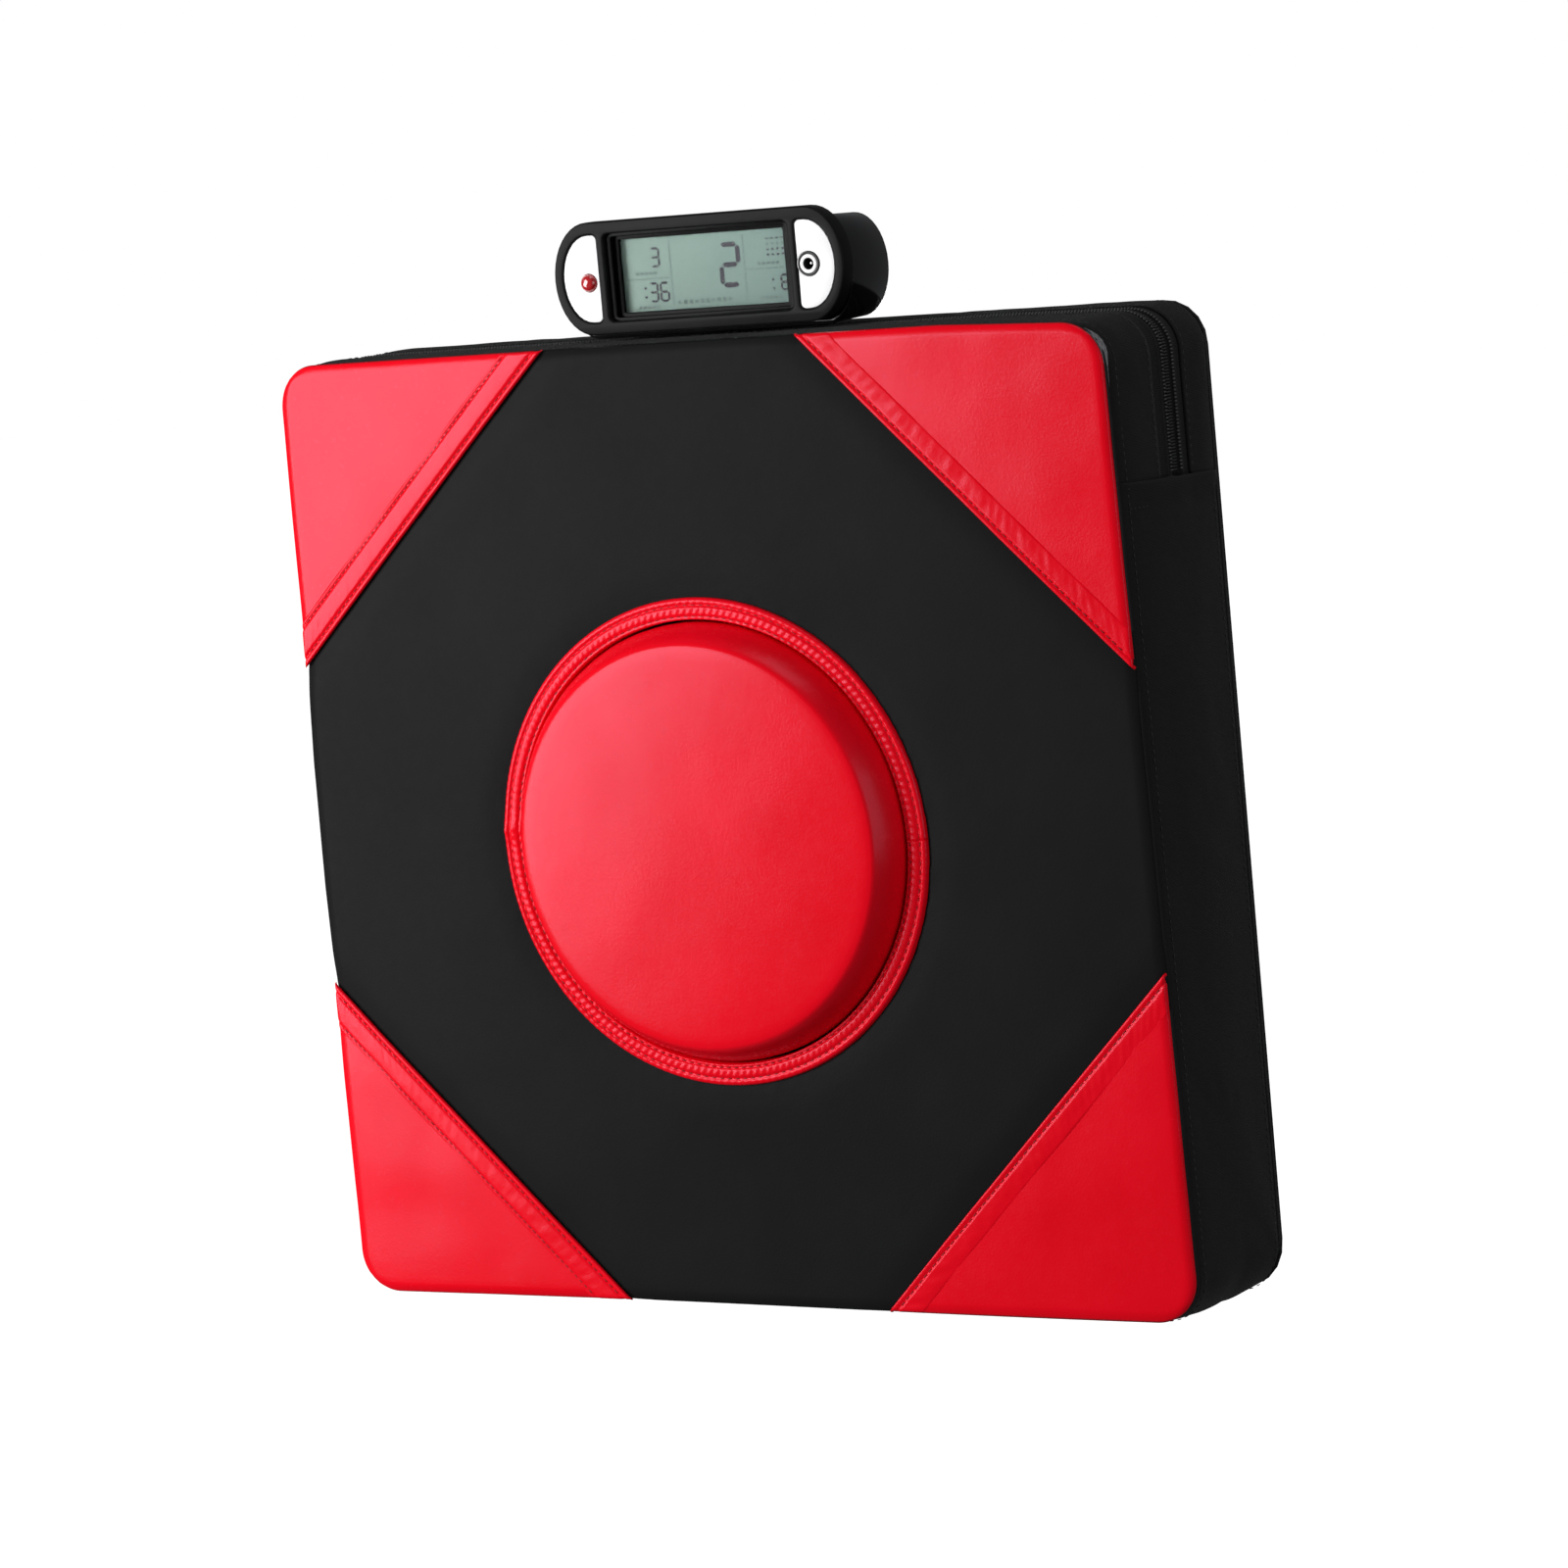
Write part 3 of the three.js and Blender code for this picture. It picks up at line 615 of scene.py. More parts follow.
# a patch's fold runs from a point on the top or bottom edge to a point on the side edge
class Fold:
    def __init__(self, place):
        low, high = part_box("corner_patch_" + place)
        self.sideX = 1 if high.x > 0 else -1
        self.sideZ = 1 if high.z > 0 else -1
        nearX = low.x if self.sideX > 0 else high.x
        nearZ = low.z if self.sideZ > 0 else high.z
        self.start = Vector((nearX, 0, self.sideZ * panelHalf))
        self.end = Vector((self.sideX * panelHalf, 0, nearZ))
        self.along = (self.end - self.start).normalized()
        corner = Vector((self.sideX, 0, self.sideZ))
        self.out = (corner - self.along * corner.dot(self.along)).normalized()
        self.length = (self.end - self.start).length

    # how far a point is past the fold, towards the corner
    def past(self, x, z):
        return (Vector((x, 0, z)) - self.start).dot(self.out)

    # a point a share of the way along, and a distance past the fold
    def at(self, share, across):
        first = self.start + Vector((self.sideX * across / abs(self.out.x), 0, 0))
        last = self.end + Vector((0, 0, self.sideZ * across / abs(self.out.z)))
        return first.lerp(last, share)


cornerNames = ("top_left", "top_right", "bottom_left", "bottom_right")
folds = {place: Fold(place) for place in cornerNames}


def makeFrontPanel():
    bm = faceGrid(-panelHalf, panelHalf, -panelHalf, panelHalf, cover["cell"])
    tuck = cover["hemWide"] * 0.75
    for fold in folds.values():
        everything = bm.verts[:] + bm.edges[:] + bm.faces[:]
        bmesh.ops.bisect_plane(bm, geom=everything, plane_co=fold.start + fold.out * tuck, plane_no=fold.out,
                               clear_outer=True)
    middle = Vector((targetX, 0, targetZ))
    hole = [face for face in bm.faces if (face.calc_center_median() - middle).length < ringOuter - 5 * mm]
    bmesh.ops.delete(bm, geom=hole, context="FACES")
    for vertex in bm.verts:
        x, z = vertex.co.x, vertex.co.z
        pastFold = max(fold.past(x, z) for fold in folds.values())
        fromRing = math.hypot(x - targetX, z - targetZ) - ringOuter
        dip = 1.0 * mm * hump(max(-pastFold, 0), 6.5 * mm) + 0.6 * mm * hump(max(fromRing, 0), 7 * mm)
        under = 0.4 * mm if pastFold > 0 or fromRing < 0 else 0
        vertex.co.y = faceDepth(x, z, panelY - 0.5 * mm) + dip + under
        if x < 0:
            vertex.co.x -= 1.3 * mm * hump(x + panelHalf, 10 * mm) * clamp(-pastFold / (30 * mm))
    panel = settleMesh(newMesh("frontPanel", bm, blackLeather))
    thicken(panel, cover["leather"])
    fit(panel, "pad", "black_leather", "front_panel")


def makeCornerPatch(place, fold):
    spanX = sorted((fold.start.x, fold.end.x))
    spanZ = sorted((fold.start.z, fold.end.z))
    bm = faceGrid(*spanX, *spanZ, 2.2 * mm)
    everything = bm.verts[:] + bm.edges[:] + bm.faces[:]
    bmesh.ops.bisect_plane(bm, geom=everything, plane_co=fold.start + fold.out * 3 * mm, plane_no=fold.out,
                           clear_inner=True)
    for vertex in bm.verts:
        x, z = roundCorner(vertex.co.x, vertex.co.z, panelHalf, faceCorner)
        puff = 0.5 * mm * (1 - hump(fold.past(x, z) - 3 * mm, 16 * mm))
        ease = 0.35 * mm * ripple(x, 0, z, 30 * mm, 21)
        vertex.co = Vector((x, faceDepth(x, z, faceY + 0.9 * mm) - puff + ease, z))
    patch = settleMesh(newMesh("cornerPatch_" + place, bm, redLeather))
    thicken(patch, cover["leather"] * 0.8)
    fit(patch, "pad", "red_leather", "corner_patch_" + place)


def hemHeight(across, along, seed, pucker):
    rise = cover["hemHigh"]
    if across > cover["rowFar"]:
        rise *= max(0.0, 1 - (across - cover["rowFar"]) / (cover["hemWide"] - cover["rowFar"])) ** 0.7
    inside = (across - cover["rowNear"]) / (cover["rowFar"] - cover["rowNear"])
    belly = math.sin(math.pi * inside) if 0 < inside < 1 else 0
    drift = 2 * ripple(along, 0, 0, 30 * mm, seed)
    slant = math.sin(2 * math.pi * (along / (5.2 * mm) + across / (11 * mm)) + drift)
    tension = 0.3 + 1.2 * abs(ripple(along, 0, 0, 45 * mm, seed + 5))
    uneven = 0.3 * mm * ripple(along, across, 0, 6 * mm, seed + 9)
    rise += belly * (0.15 * mm + pucker * (0.09 * mm * slant * tension + uneven * 0.8))
    beat = 0.5 + 0.5 * math.cos(2 * math.pi * along / cover["stitchPitch"])
    for row in (cover["rowNear"], cover["rowFar"]):
        rise -= (0.55 + 0.25 * beat) * mm * hump(across - row, 0.6 * mm)
    return rise


# folded edge of a patch, stitched down twice; across is measured from the fold
def makeHem(place, fold, seed):
    columns, rows = 200, 30
    roll = 0.6 * mm
    inset = 0.15 * mm

    def hemPoint(share, across, height):
        spot = fold.at(share, across)
        x = math.copysign(min(abs(spot.x), panelHalf - inset), spot.x)
        z = math.copysign(min(abs(spot.z), panelHalf - inset), spot.z)
        y = faceDepth(x, z, faceY + 0.9 * mm) - height
        return settled(Vector((x, y, z)))

    pucker, tilt = (0.85, 0.055) if fold.sideX > 0 else (0.4, 0)  # the right-hand hems are drawn up more
    bm = unitGrid(columns, rows)
    for vertex in bm.verts:
        share, step = vertex.co.xy
        if step < 0.12:
            angle = (step / 0.12 - 0.5) * math.pi
            across = roll - roll * math.cos(angle)
            height = (cover["hemHigh"] + 1.2 * mm) * (0.5 + 0.5 * math.sin(angle)) - 1.2 * mm
        else:
            across = roll + (step - 0.12) / 0.88 * (cover["hemWide"] - roll)
            height = hemHeight(across, share * fold.length, seed, pucker)
            height -= tilt * max(0, across - cover["rowNear"])
        vertex.co = hemPoint(share, across, height)
    faceFront(bm)
    hem = newMesh("hem_" + place, bm, redLeather)
    thicken(hem, 0.5 * mm)
    fit(hem, "pad", "red_leather")

    stitches = []
    for row in (cover["rowNear"], cover["rowFar"]):
        count = int(fold.length / cover["stitchPitch"]) - 1
        for number in range(1, count):
            share = (number + 0.5) * cover["stitchPitch"] / fold.length
            height = cover["hemHigh"] - 0.5 * mm - tilt * (row - cover["rowNear"])
            spot = hemPoint(share, row, height)
            stitches.append((spot, hemPoint(share + 0.01, row, height) - spot, Vector((0, -1, 0))))
    thread = beads("hemThread_" + place, stitches, (1.25 * mm, 0.3 * mm, 0.26 * mm), redThread)
    fit(thread, "pad", "red_leather")


makeFrontPanel()
for seed, (place, fold) in enumerate(folds.items()):
    makeCornerPatch(place, fold)
    makeHem(place, fold, seed)
print("front cover sewn")


# ring round the strike pad
ring = {
    "inner": 92.2 * mm,
    "high": 1.9 * mm,
    "collar": 21 * mm,  # how far the lining goes in round the strike pad
    "tuck": 1.4 * mm,
    "rowOut": 3.3 * mm,
    "rowIn": 7.9 * mm,
    "pitch": 3.9 * mm,
    "join": math.radians(176),  # where the ends of the strip overlap
}


def ringHeight(across, angle):
    wide = ringOuter - ring["inner"]
    share = across / wide
    rise = ring["high"] * min(1, (1 - (2 * share - 1) ** 8))
    along = angle * ringOuter
    between = math.sin(math.pi * (across - ring["rowOut"]) / (ring["rowIn"] - ring["rowOut"]))
    drift = 1.5 * ripple(along, 0, 0, 40 * mm, 8)
    slant = math.sin(2 * math.pi * (along / (3.4 * mm) - across / (7 * mm)) + drift)
    if 0 < between and ring["rowOut"] < across < ring["rowIn"]:
        rise += between * (0.2 + 0.2 * slant) * mm
    else:
        rise += 0.1 * slant * mm
    beat = 0.5 + 0.5 * math.cos(2 * math.pi * along / ring["pitch"])
    for row in (ring["rowOut"], ring["rowIn"]):
        rise -= (0.5 + 0.3 * beat) * mm * hump(across - row, 0.6 * mm)
    away = abs(angle - ring["join"]) * ringOuter
    rise += 0.8 * mm * hump(away, 5 * mm)
    rise += 0.5 * mm * hump(away, 2 * mm) * ripple(along, across, 0, 2 * mm, 2)
    return rise


def makeRing():
    bm = unitGrid(640, 22)
    wide = ringOuter - ring["inner"]
    for vertex in bm.verts:
        turn, step = vertex.co.xy
        angle = turn * 2 * math.pi
        across = (1 - step) * wide
        radius = ringOuter - across
        height = ringHeight(across, angle)
        if step > 0.999:
            height = -ring["tuck"]
        elif step < 0.001:
            height = -ring["collar"]
        x, z = targetX + radius * math.cos(angle), targetZ + radius * math.sin(angle)
        y = faceDepth(x, z, panelY) - height
        vertex.co = settled(Vector((x, y, z)))
    bmesh.ops.remove_doubles(bm, verts=bm.verts, dist=0.01 * mm)
    faceFront(bm)
    band = newMesh("targetRing", bm, redLeather)
    thicken(band, 0.5 * mm)
    fit(band, "pad", "red_leather", "target_ring")
    stitches = []
    for row in (ring["rowOut"], ring["rowIn"]):
        radius = ringOuter - row
        count = int(2 * math.pi * ringOuter / ring["pitch"])
        for number in range(count):
            angle = 2 * math.pi * (number + 0.5) / count
            outward = Vector((math.cos(angle), 0, math.sin(angle)))
            spot = Vector((targetX, 0, targetZ)) + outward * radius
            spot.y = faceDepth(spot.x, spot.z, panelY) - ring["high"] + 0.62 * mm
            spot = settled(spot)
            stitches.append((spot, Vector((-outward.z, 0, outward.x)), Vector((0, -1, 0))))
    thread = beads("ringThread", stitches, (1.2 * mm, 0.3 * mm, 0.28 * mm), redThread)
    fit(thread, "pad", "red_leather")


makeRing()


# strike pad
strikePad = {
    "face": 83.2 * mm,
    "proud": 14.2 * mm,
    "wall": ((83.9, 0.35), (84.9, 1.3), (86.5, 3.4), (88.0, 5.8), (89.3, 8.4), (90.4, 11.0), (91.2, 13.2)),
    "base": 91.5 * mm,
    "skirt": 9 * mm,
    "crown": 1.8 * mm,
    "sides": 160,
}


def makeStrikePad():
    front = faceY - strikePad["proud"]
    outline = []
    for share in (0, 0.12, 0.25, 0.38, 0.5, 0.62, 0.74, 0.85, 0.93, 0.97, 1):
        outline.append((strikePad["face"] * share, front - strikePad["crown"] * (1 - share ** 2)))
    for radius, drop in strikePad["wall"]:
        outline.append((radius * mm, front + drop * mm))
    outline.append((strikePad["base"], faceY + 0.5 * mm))
    outline.append((strikePad["base"], faceY + strikePad["skirt"]))
    bm = spinProfile(targetX, targetZ, outline, strikePad["sides"], 0.02 * mm)
    faceFront(bm)
    pad = newMesh("strikePadCover", bm, redLeather)
    held = strikePad["face"] - 1.5 * mm
    swell(pad, lambda co: math.hypot(co.x - targetX, co.z - targetZ) > held, 1.5, 1.2 * mm)
    for vertex in pad.data.vertices:
        x, z = vertex.co.x - targetX, vertex.co.z - targetZ
        radius = math.hypot(x, z)
        onWall = hump(radius - 89.5 * mm, 3 * mm)
        crease = 0.3 * mm * onWall * ripple(math.atan2(z, x) * radius, vertex.co.y * 0.4, 0, 9 * mm, 4)
        if radius > 1 * mm:
            vertex.co.x += crease * x / radius
            vertex.co.z += crease * z / radius
        vertex.co.y -= 0.25 * mm * (ripple(x, 0, z, 34 * mm, 6) - hump(radius - strikePad["face"], 1.2 * mm))
    thicken(pad, 1.3 * mm)
    fit(pad, "strike_pad", "red_leather", "target_cover")


makeStrikePad()
print("ring and strike pad made")


# sides of the cover
# the loop round the pad: distance runs clockwise from the middle of the top, seen from the front
straight = sideHalf - padCorner
quarter = math.pi / 2 * padCorner
loopLength = 8 * straight + 4 * quarter


def loopPlace(distance, grow=0.0):
    distance = (distance + straight) % loopLength
    side, rest = divmod(distance, 2 * straight + quarter)
    turn = -side * math.pi / 2
    if rest <= 2 * straight:
        spot, out = Vector((rest - straight, 0, sideHalf + grow)), Vector((0, 0, 1))
    else:
        angle = (rest - 2 * straight) / padCorner
        out = Vector((math.sin(angle), 0, math.cos(angle)))
        spot = Vector((straight, 0, straight)) + out * (padCorner + grow)
    spin = Matrix.Rotation(-turn, 3, "Y")
    return spin @ spot, spin @ out


def onSide(spot, depth):
    return settled(Vector((spot.x, depth, spot.z)))


seamAt = straight + quarter + (straight - seamZ)  # from the top's middle to the side seam
sideStyle = {
    "cell": 3.0 * mm,
    "puff": 1.5 * mm,
    "tuck": 4.5 * mm,
    "tuckDrop": 1.4 * mm,
    "waves": 0.55 * mm,
    "pressure": 3.0,
    "cap": 2.2 * mm,
    "seamLean": 3.3 * mm,  # the cross seams drop towards the wall
}


def lean(distance, depth):
    share = clamp((depth - sideFrontY) / (sideRearY - sideFrontY))
    fromTop = (distance + loopLength / 2) % loopLength - loopLength / 2
    near = hump(abs(fromTop) - seamAt, 22 * mm)
    return math.copysign(near * share * sideStyle["seamLean"], fromTop)


# a strip of cloth that lies on the loop between two distances and two depths
def sideStrip(name, start, end, frontY, rearY, material, lift, cell, node=None):
    columns = round((end - start) / cell)
    rows = max(3, round((rearY - frontY) / cell))
    bm = unitGrid(columns, rows)
    flatMap = bm.loops.layers.uv.new("cloth")
    for face in bm.faces:
        for loop in face.loops:
            along, across = loop.vert.co.xy
            loop[flatMap].uv = (start + along * (end - start), across * (rearY - frontY))
    for vertex in bm.verts:
        along, across = vertex.co.xy
        distance = start + along * (end - start)
        depth = frontY + across * (rearY - frontY)
        spot, _ = loopPlace(distance + lean(distance, depth), lift(distance, depth))
        vertex.co = onSide(spot, depth)
    bm.normal_update()
    bm.faces.ensure_lookup_table()
    sample = bm.faces[0]
    if sample.normal.dot(sample.calc_center_median() * Vector((1, 0, 1))) < 0:
        bmesh.ops.reverse_faces(bm, faces=bm.faces)
    return newMesh(name, bm, material)


def clothLift(distance, depth, frontY, rearY, seed, tucks=(True, True)):
    share = (depth - frontY) / (rearY - frontY)
    lift = sideStyle["puff"] * 0.45 * math.sin(math.pi * clamp(share))
    if tucks[0]:
        lift -= rollOff(depth - frontY, sideStyle["tuck"], sideStyle["tuckDrop"])
    if tucks[1]:
        lift -= rollOff(rearY - depth, sideStyle["tuck"], sideStyle["tuckDrop"])
    pull = math.sin(math.pi * share) ** 0.5 if 0 < share < 1 else 0
    waves = ripple(distance, depth * 1.6, 0, 26 * mm, seed)
    waves += 0.6 * ripple(distance, depth, 0, 11 * mm, seed + 1)
    nearFront = hump(depth - frontY, 7 * mm) * ripple(distance, 0, 0, 5 * mm, seed + 2)
    return lift + sideStyle["waves"] * (waves * pull + 0.5 * nearFront)


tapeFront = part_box("zip_tape_front")
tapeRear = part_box("zip_tape_rear")
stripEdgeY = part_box("front_side_strip")[1].y
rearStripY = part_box("rear_side_strip")[0].y
zipY = (tapeFront[1].y + tapeRear[0].y) / 2


def seamRow(name, places):
    fit(beads(name, places, (1.2 * mm, 0.25 * mm, 0.22 * mm), blackThread), "pad", "black_cloth")


def rowAlong(start, end, depth, lift, pitch):
    places = []
    count = int((end - start) / pitch)
    for number in range(count):
        distance = start + (number + 0.5) * (end - start) / count
        spot, out = loopPlace(distance, lift)
        ahead, _ = loopPlace(distance + 0.5 * mm, lift)
        along = ahead - spot
        places.append((onSide(spot, depth), Vector((along.x, 0, along.z)), out))
    return places


def rowAcross(distance, frontY, rearY, lift, pitch):
    places = []
    for number in range(int((rearY - frontY) / pitch)):
        depth = frontY + (number + 0.5) * pitch
        spot, out = loopPlace(distance + lean(distance, depth), lift)
        places.append((onSide(spot, depth), Vector((0, 1, 0)), out))
    return places


def finishSide(piece, heldFront, heldRear, node):
    swell(piece, lambda co: co.y < heldFront or co.y > heldRear, sideStyle["pressure"], sideStyle["cap"])
    thicken(smoothMore(piece), 1.1 * mm)
    fit(piece, "pad", "black_cloth", node)


def makeSides():
    rim = 0.6 * mm
    frontY, rearY = sideFrontY - rim, sideRearY + rim
    low = loopLength - seamAt
    band = sideStrip(
        "lowerSideBand", seamAt, low, frontY, rearY, sideCloth,
        lambda s, d: clothLift(s, d, frontY, rearY, 1)
        + 1.0 * mm * (hump(s - seamAt, 5 * mm) + hump(low - s, 5 * mm))
        - 0.5 * mm * (hump(s - seamAt - 10.4 * mm, 1.6 * mm) + hump(low - s - 10.4 * mm, 1.6 * mm)),
        sideStyle["cell"])
    finishSide(band, frontY + 1 * mm, rearY - 1 * mm, "lower_side_band")

    edge = stripEdgeY + 0.3 * mm
    front = sideStrip(
        "frontSideStrip", -seamAt, seamAt, frontY, edge, sideCloth,
        lambda s, d: clothLift(s, d, frontY, edge, 2, (True, False)) + 0.35 * mm * hump(edge - d, 5 * mm),
        sideStyle["cell"] * 0.8)
    finishSide(front, frontY + 1 * mm, edge - 4 * mm, "front_side_strip")

    back = rearStripY - 0.3 * mm
    rear = sideStrip(
        "rearSideStrip", -seamAt, seamAt, back, rearY, sideCloth,
        lambda s, d: clothLift(s, d, back, rearY, 5, (False, True)) + 0.35 * mm * hump(d - back, 5 * mm),
        sideStyle["cell"] * 0.8)
    finishSide(rear, back + 4 * mm, rearY - 1 * mm, "rear_side_strip")

    seamRow("frontStripThread", rowAlong(-seamAt, seamAt, edge - 2.2 * mm, 0.55 * mm, 3.4 * mm))
    seamRow("rearStripThread", rowAlong(-seamAt, seamAt, back + 2.2 * mm, 0.55 * mm, 3.4 * mm))
    rows = []
    for inset, end in ((2.4 * mm, rearY - 4 * mm), (10.4 * mm, -43 * mm)):
        for distance in (seamAt + inset, loopLength - seamAt - inset):
            rows += rowAcross(distance, frontY + 4 * mm, end, 0.9 * mm, 3.2 * mm)
    seamRow("sideSeamThread", rows)
    seamRow("frontEdgeThread", rowAlong(0, loopLength, frontY + 5.5 * mm, 0.35 * mm, 3.4 * mm))
    seamRow("rearEdgeThread", rowAlong(0, loopLength, rearY - 5.5 * mm, 0.35 * mm, 3.4 * mm))


grooveHalf = 4.4 * mm


def makeZip():
    for name, node, low, high in (
            ("zipTapeFront", "zip_tape_front", tapeFront[0].y - 3 * mm, zipY - 0.2 * mm),
            ("zipTapeRear", "zip_tape_rear", zipY + 0.2 * mm, tapeRear[1].y + 3 * mm)):
        tape = sideStrip(
            name, -seamAt, seamAt, low, high, zipTape,
            lambda s, d: -0.55 * mm + 0.5 * mm * hump(abs(d - zipY) - grooveHalf - 0.6 * mm, 1.6 * mm)
            - (1.3 * mm if abs(d - zipY) < grooveHalf - 0.4 * mm else 0)
            + 0.15 * mm * ripple(s, d, 0, 14 * mm, 9), 1.3 * mm)
        thicken(tape, 0.5 * mm)
        fit(tape, "pad", "black_cloth", node)
    teeth, cords = [], []
    for side in (-1, 1):
        teeth += [(spot + Vector((0, side * 0.95 * mm, 0)), Vector((0, 1, 0)), out)
                  for spot, _, out in rowAlong(-seamAt, seamAt, zipY, -0.9 * mm, 1.25 * mm)]
        cords += [(spot + Vector((0, side * grooveHalf, 0)), Vector((0, 1, 0)), out)
                  for spot, _, out in rowAlong(-seamAt, seamAt, zipY, 0.05 * mm, 1.5 * mm)]
    coil = beads("zipCoil", teeth, (1.15 * mm, 0.48 * mm, 0.75 * mm), zipNylon)
    fit(coil, "pad", "black_plastic", "zip_chain")
    overcast = beads("zipEdgeThread", cords, (0.95 * mm, 0.45 * mm, 0.55 * mm), zipThread)
    fit(overcast, "pad", "black_cloth")


def makePiping(name, node, thick):
    low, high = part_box(node)
    depth = (low.y + high.y) / 2
    path = bpy.data.curves.new(name + "Path", "CURVE")
    path.dimensions = "3D"
    path.bevel_depth = thick
    path.bevel_resolution = 4
    count = 260
    line = path.splines.new("POLY")
    line.points.add(count - 1)
    for number, point in enumerate(line.points):
        spot, _ = loopPlace(number * loopLength / count, high.x - sideHalf - thick)
        point.co = (*onSide(spot, depth), 1)
    line.use_cyclic_u = True
    bm = curveMesh(path)
    bmesh.ops.remove_doubles(bm, verts=bm.verts, dist=0.01 * mm)
    bmesh.ops.recalc_face_normals(bm, faces=bm.faces)
    piping = newMesh(name, bm, blackPiping)
    fit(piping, "pad", "black_leather", node)


makeSides()
makeZip()
makePiping("frontPiping", "front_piping", 1.2 * mm)
makePiping("rearPiping", "rear_piping", 1.1 * mm)
print("sides, zip and piping made")


# zip slider and pull
def roundedBlock(bm, low, high, radius, segments=3):
    middle = (Vector(low) + Vector(high)) / 2
    size = Vector(high) - Vector(low)
    made = bmesh.ops.create_cube(bm, size=1, matrix=Matrix.Translation(middle) @ Matrix.Diagonal((*size, 1)))
    bmesh.ops.bevel(bm, geom=edgesOf(made["verts"]), offset=radius, segments=segments, profile=0.5,
                    affect="EDGES", material=-1)


def makeSlider():
    low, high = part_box("zip_slider")
    long = high.z - low.z
    archX, archHalf = low.x, 1.4 * mm
    bm = bmesh.new()
    roundedBlock(bm, (archX + 3.5 * mm, low.y, low.z), (high.x - 1.5 * mm, high.y, high.z), 1.1 * mm)
    waist = [vertex for vertex in bm.verts if vertex.co.z < low.z + long * 0.4]
    for vertex in waist:
        vertex.co.y = zipY + (vertex.co.y - zipY) * 0.72
    roundedBlock(bm, (high.x - 1.0 * mm, low.y + 0.6 * mm, low.z + 0.5 * mm),
                 (high.x + 0.4 * mm, high.y - 0.6 * mm, high.z - 0.5 * mm), 0.5 * mm, 2)
    for end in (low.z + 0.3 * mm, high.z - 2.1 * mm):
        roundedBlock(bm, (archX + 0.2 * mm, zipY - archHalf, end),
                     (archX + 4.2 * mm, zipY + archHalf, end + 1.8 * mm), 0.4 * mm, 2)
    roundedBlock(bm, (archX, zipY - archHalf, low.z + 0.3 * mm),
                 (archX + 1.2 * mm, zipY + archHalf, high.z - 0.3 * mm), 0.5 * mm, 2)
    slider = newMesh("zipSlider", bm, blackMetal)
    fit(slider, "slider", "dark_metal", "zip_slider")


def makePull():
    low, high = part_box("zip_pull")
    halfWide = (high.y - low.y) / 2
    middleX = (low.x + high.x) / 2

    outlines = [roundedOutline(-wide, wide, bottom, top, corner) for top, bottom, wide, corner in (
        (high.z, low.z, halfWide, 2.4 * mm),
        (high.z - 1.4 * mm, high.z - 9.5 * mm, halfWide - 1.8 * mm, 0.6 * mm),
        (low.z + 11.5 * mm, low.z + 3 * mm, halfWide - 2.3 * mm, 1.4 * mm))]
    pull = plate("zipPull", outlines, 1.2 * mm, 0.3 * mm, blackMetal)
    place = Matrix.Translation((middleX, zipY, 0)) @ Matrix.Rotation(math.pi / 2, 4, "Z")
    pull.data.transform(place)
    fit(pull, "pull", "dark_metal", "zip_pull")


# an outline as (x, z) points with round corners
def roundedOutline(lowX, highX, lowZ, highZ, corner, steps=6):
    points = []
    for index, (x, z) in enumerate(((highX - corner, highZ - corner), (lowX + corner, highZ - corner),
                                    (lowX + corner, lowZ + corner), (highX - corner, lowZ + corner))):
        for step in range(steps + 1):
            angle = math.pi / 2 * (index + step / steps)
            points.append((x + corner * math.cos(angle), z + corner * math.sin(angle)))
    return points


# a plate in the X and Z plane from closed outlines, the later ones cut out of the first, with rounded edges;
# it is centred on y = 0
def plate(name, outlines, thickness, edge, material, segments=2):
    flat = bpy.data.curves.new(name + "Outline", "CURVE")
    flat.dimensions = "2D"
    flat.fill_mode = "BOTH"
    flat.extrude = thickness / 2 - edge
    flat.bevel_depth = edge
    flat.bevel_resolution = segments
    flat.offset = -edge
    for outline in outlines:
        line = flat.splines.new("POLY")
        line.points.add(len(outline) - 1)
        for point, (x, z) in zip(line.points, outline):
            point.co = (x, z, 0, 1)
        line.use_cyclic_u = True
    bm = curveMesh(flat)
    bmesh.ops.remove_doubles(bm, verts=bm.verts, dist=0.005 * mm)
    bmesh.ops.rotate(bm, verts=bm.verts, cent=(0, 0, 0), matrix=Matrix.Rotation(math.pi / 2, 3, "X"))
    bmesh.ops.recalc_face_normals(bm, faces=bm.faces)
    piece = newMesh(name, bm, material)
    piece.data.set_sharp_from_angle(angle=math.radians(50))
    return piece


def moveBack(piece, depth):
    piece.data.transform(Matrix.Translation((0, depth, 0)))
    return piece


makeSlider()
makePull()
print("zip slider made")


# back of the cover
back = {
    "level": -0.6 * mm,
    "eyeletRadius": 8 * mm,
    "eyeletHole": 3.4 * mm,
    "opening": 5.5 * mm,  # the cloth is cut back this far under each eyelet
}


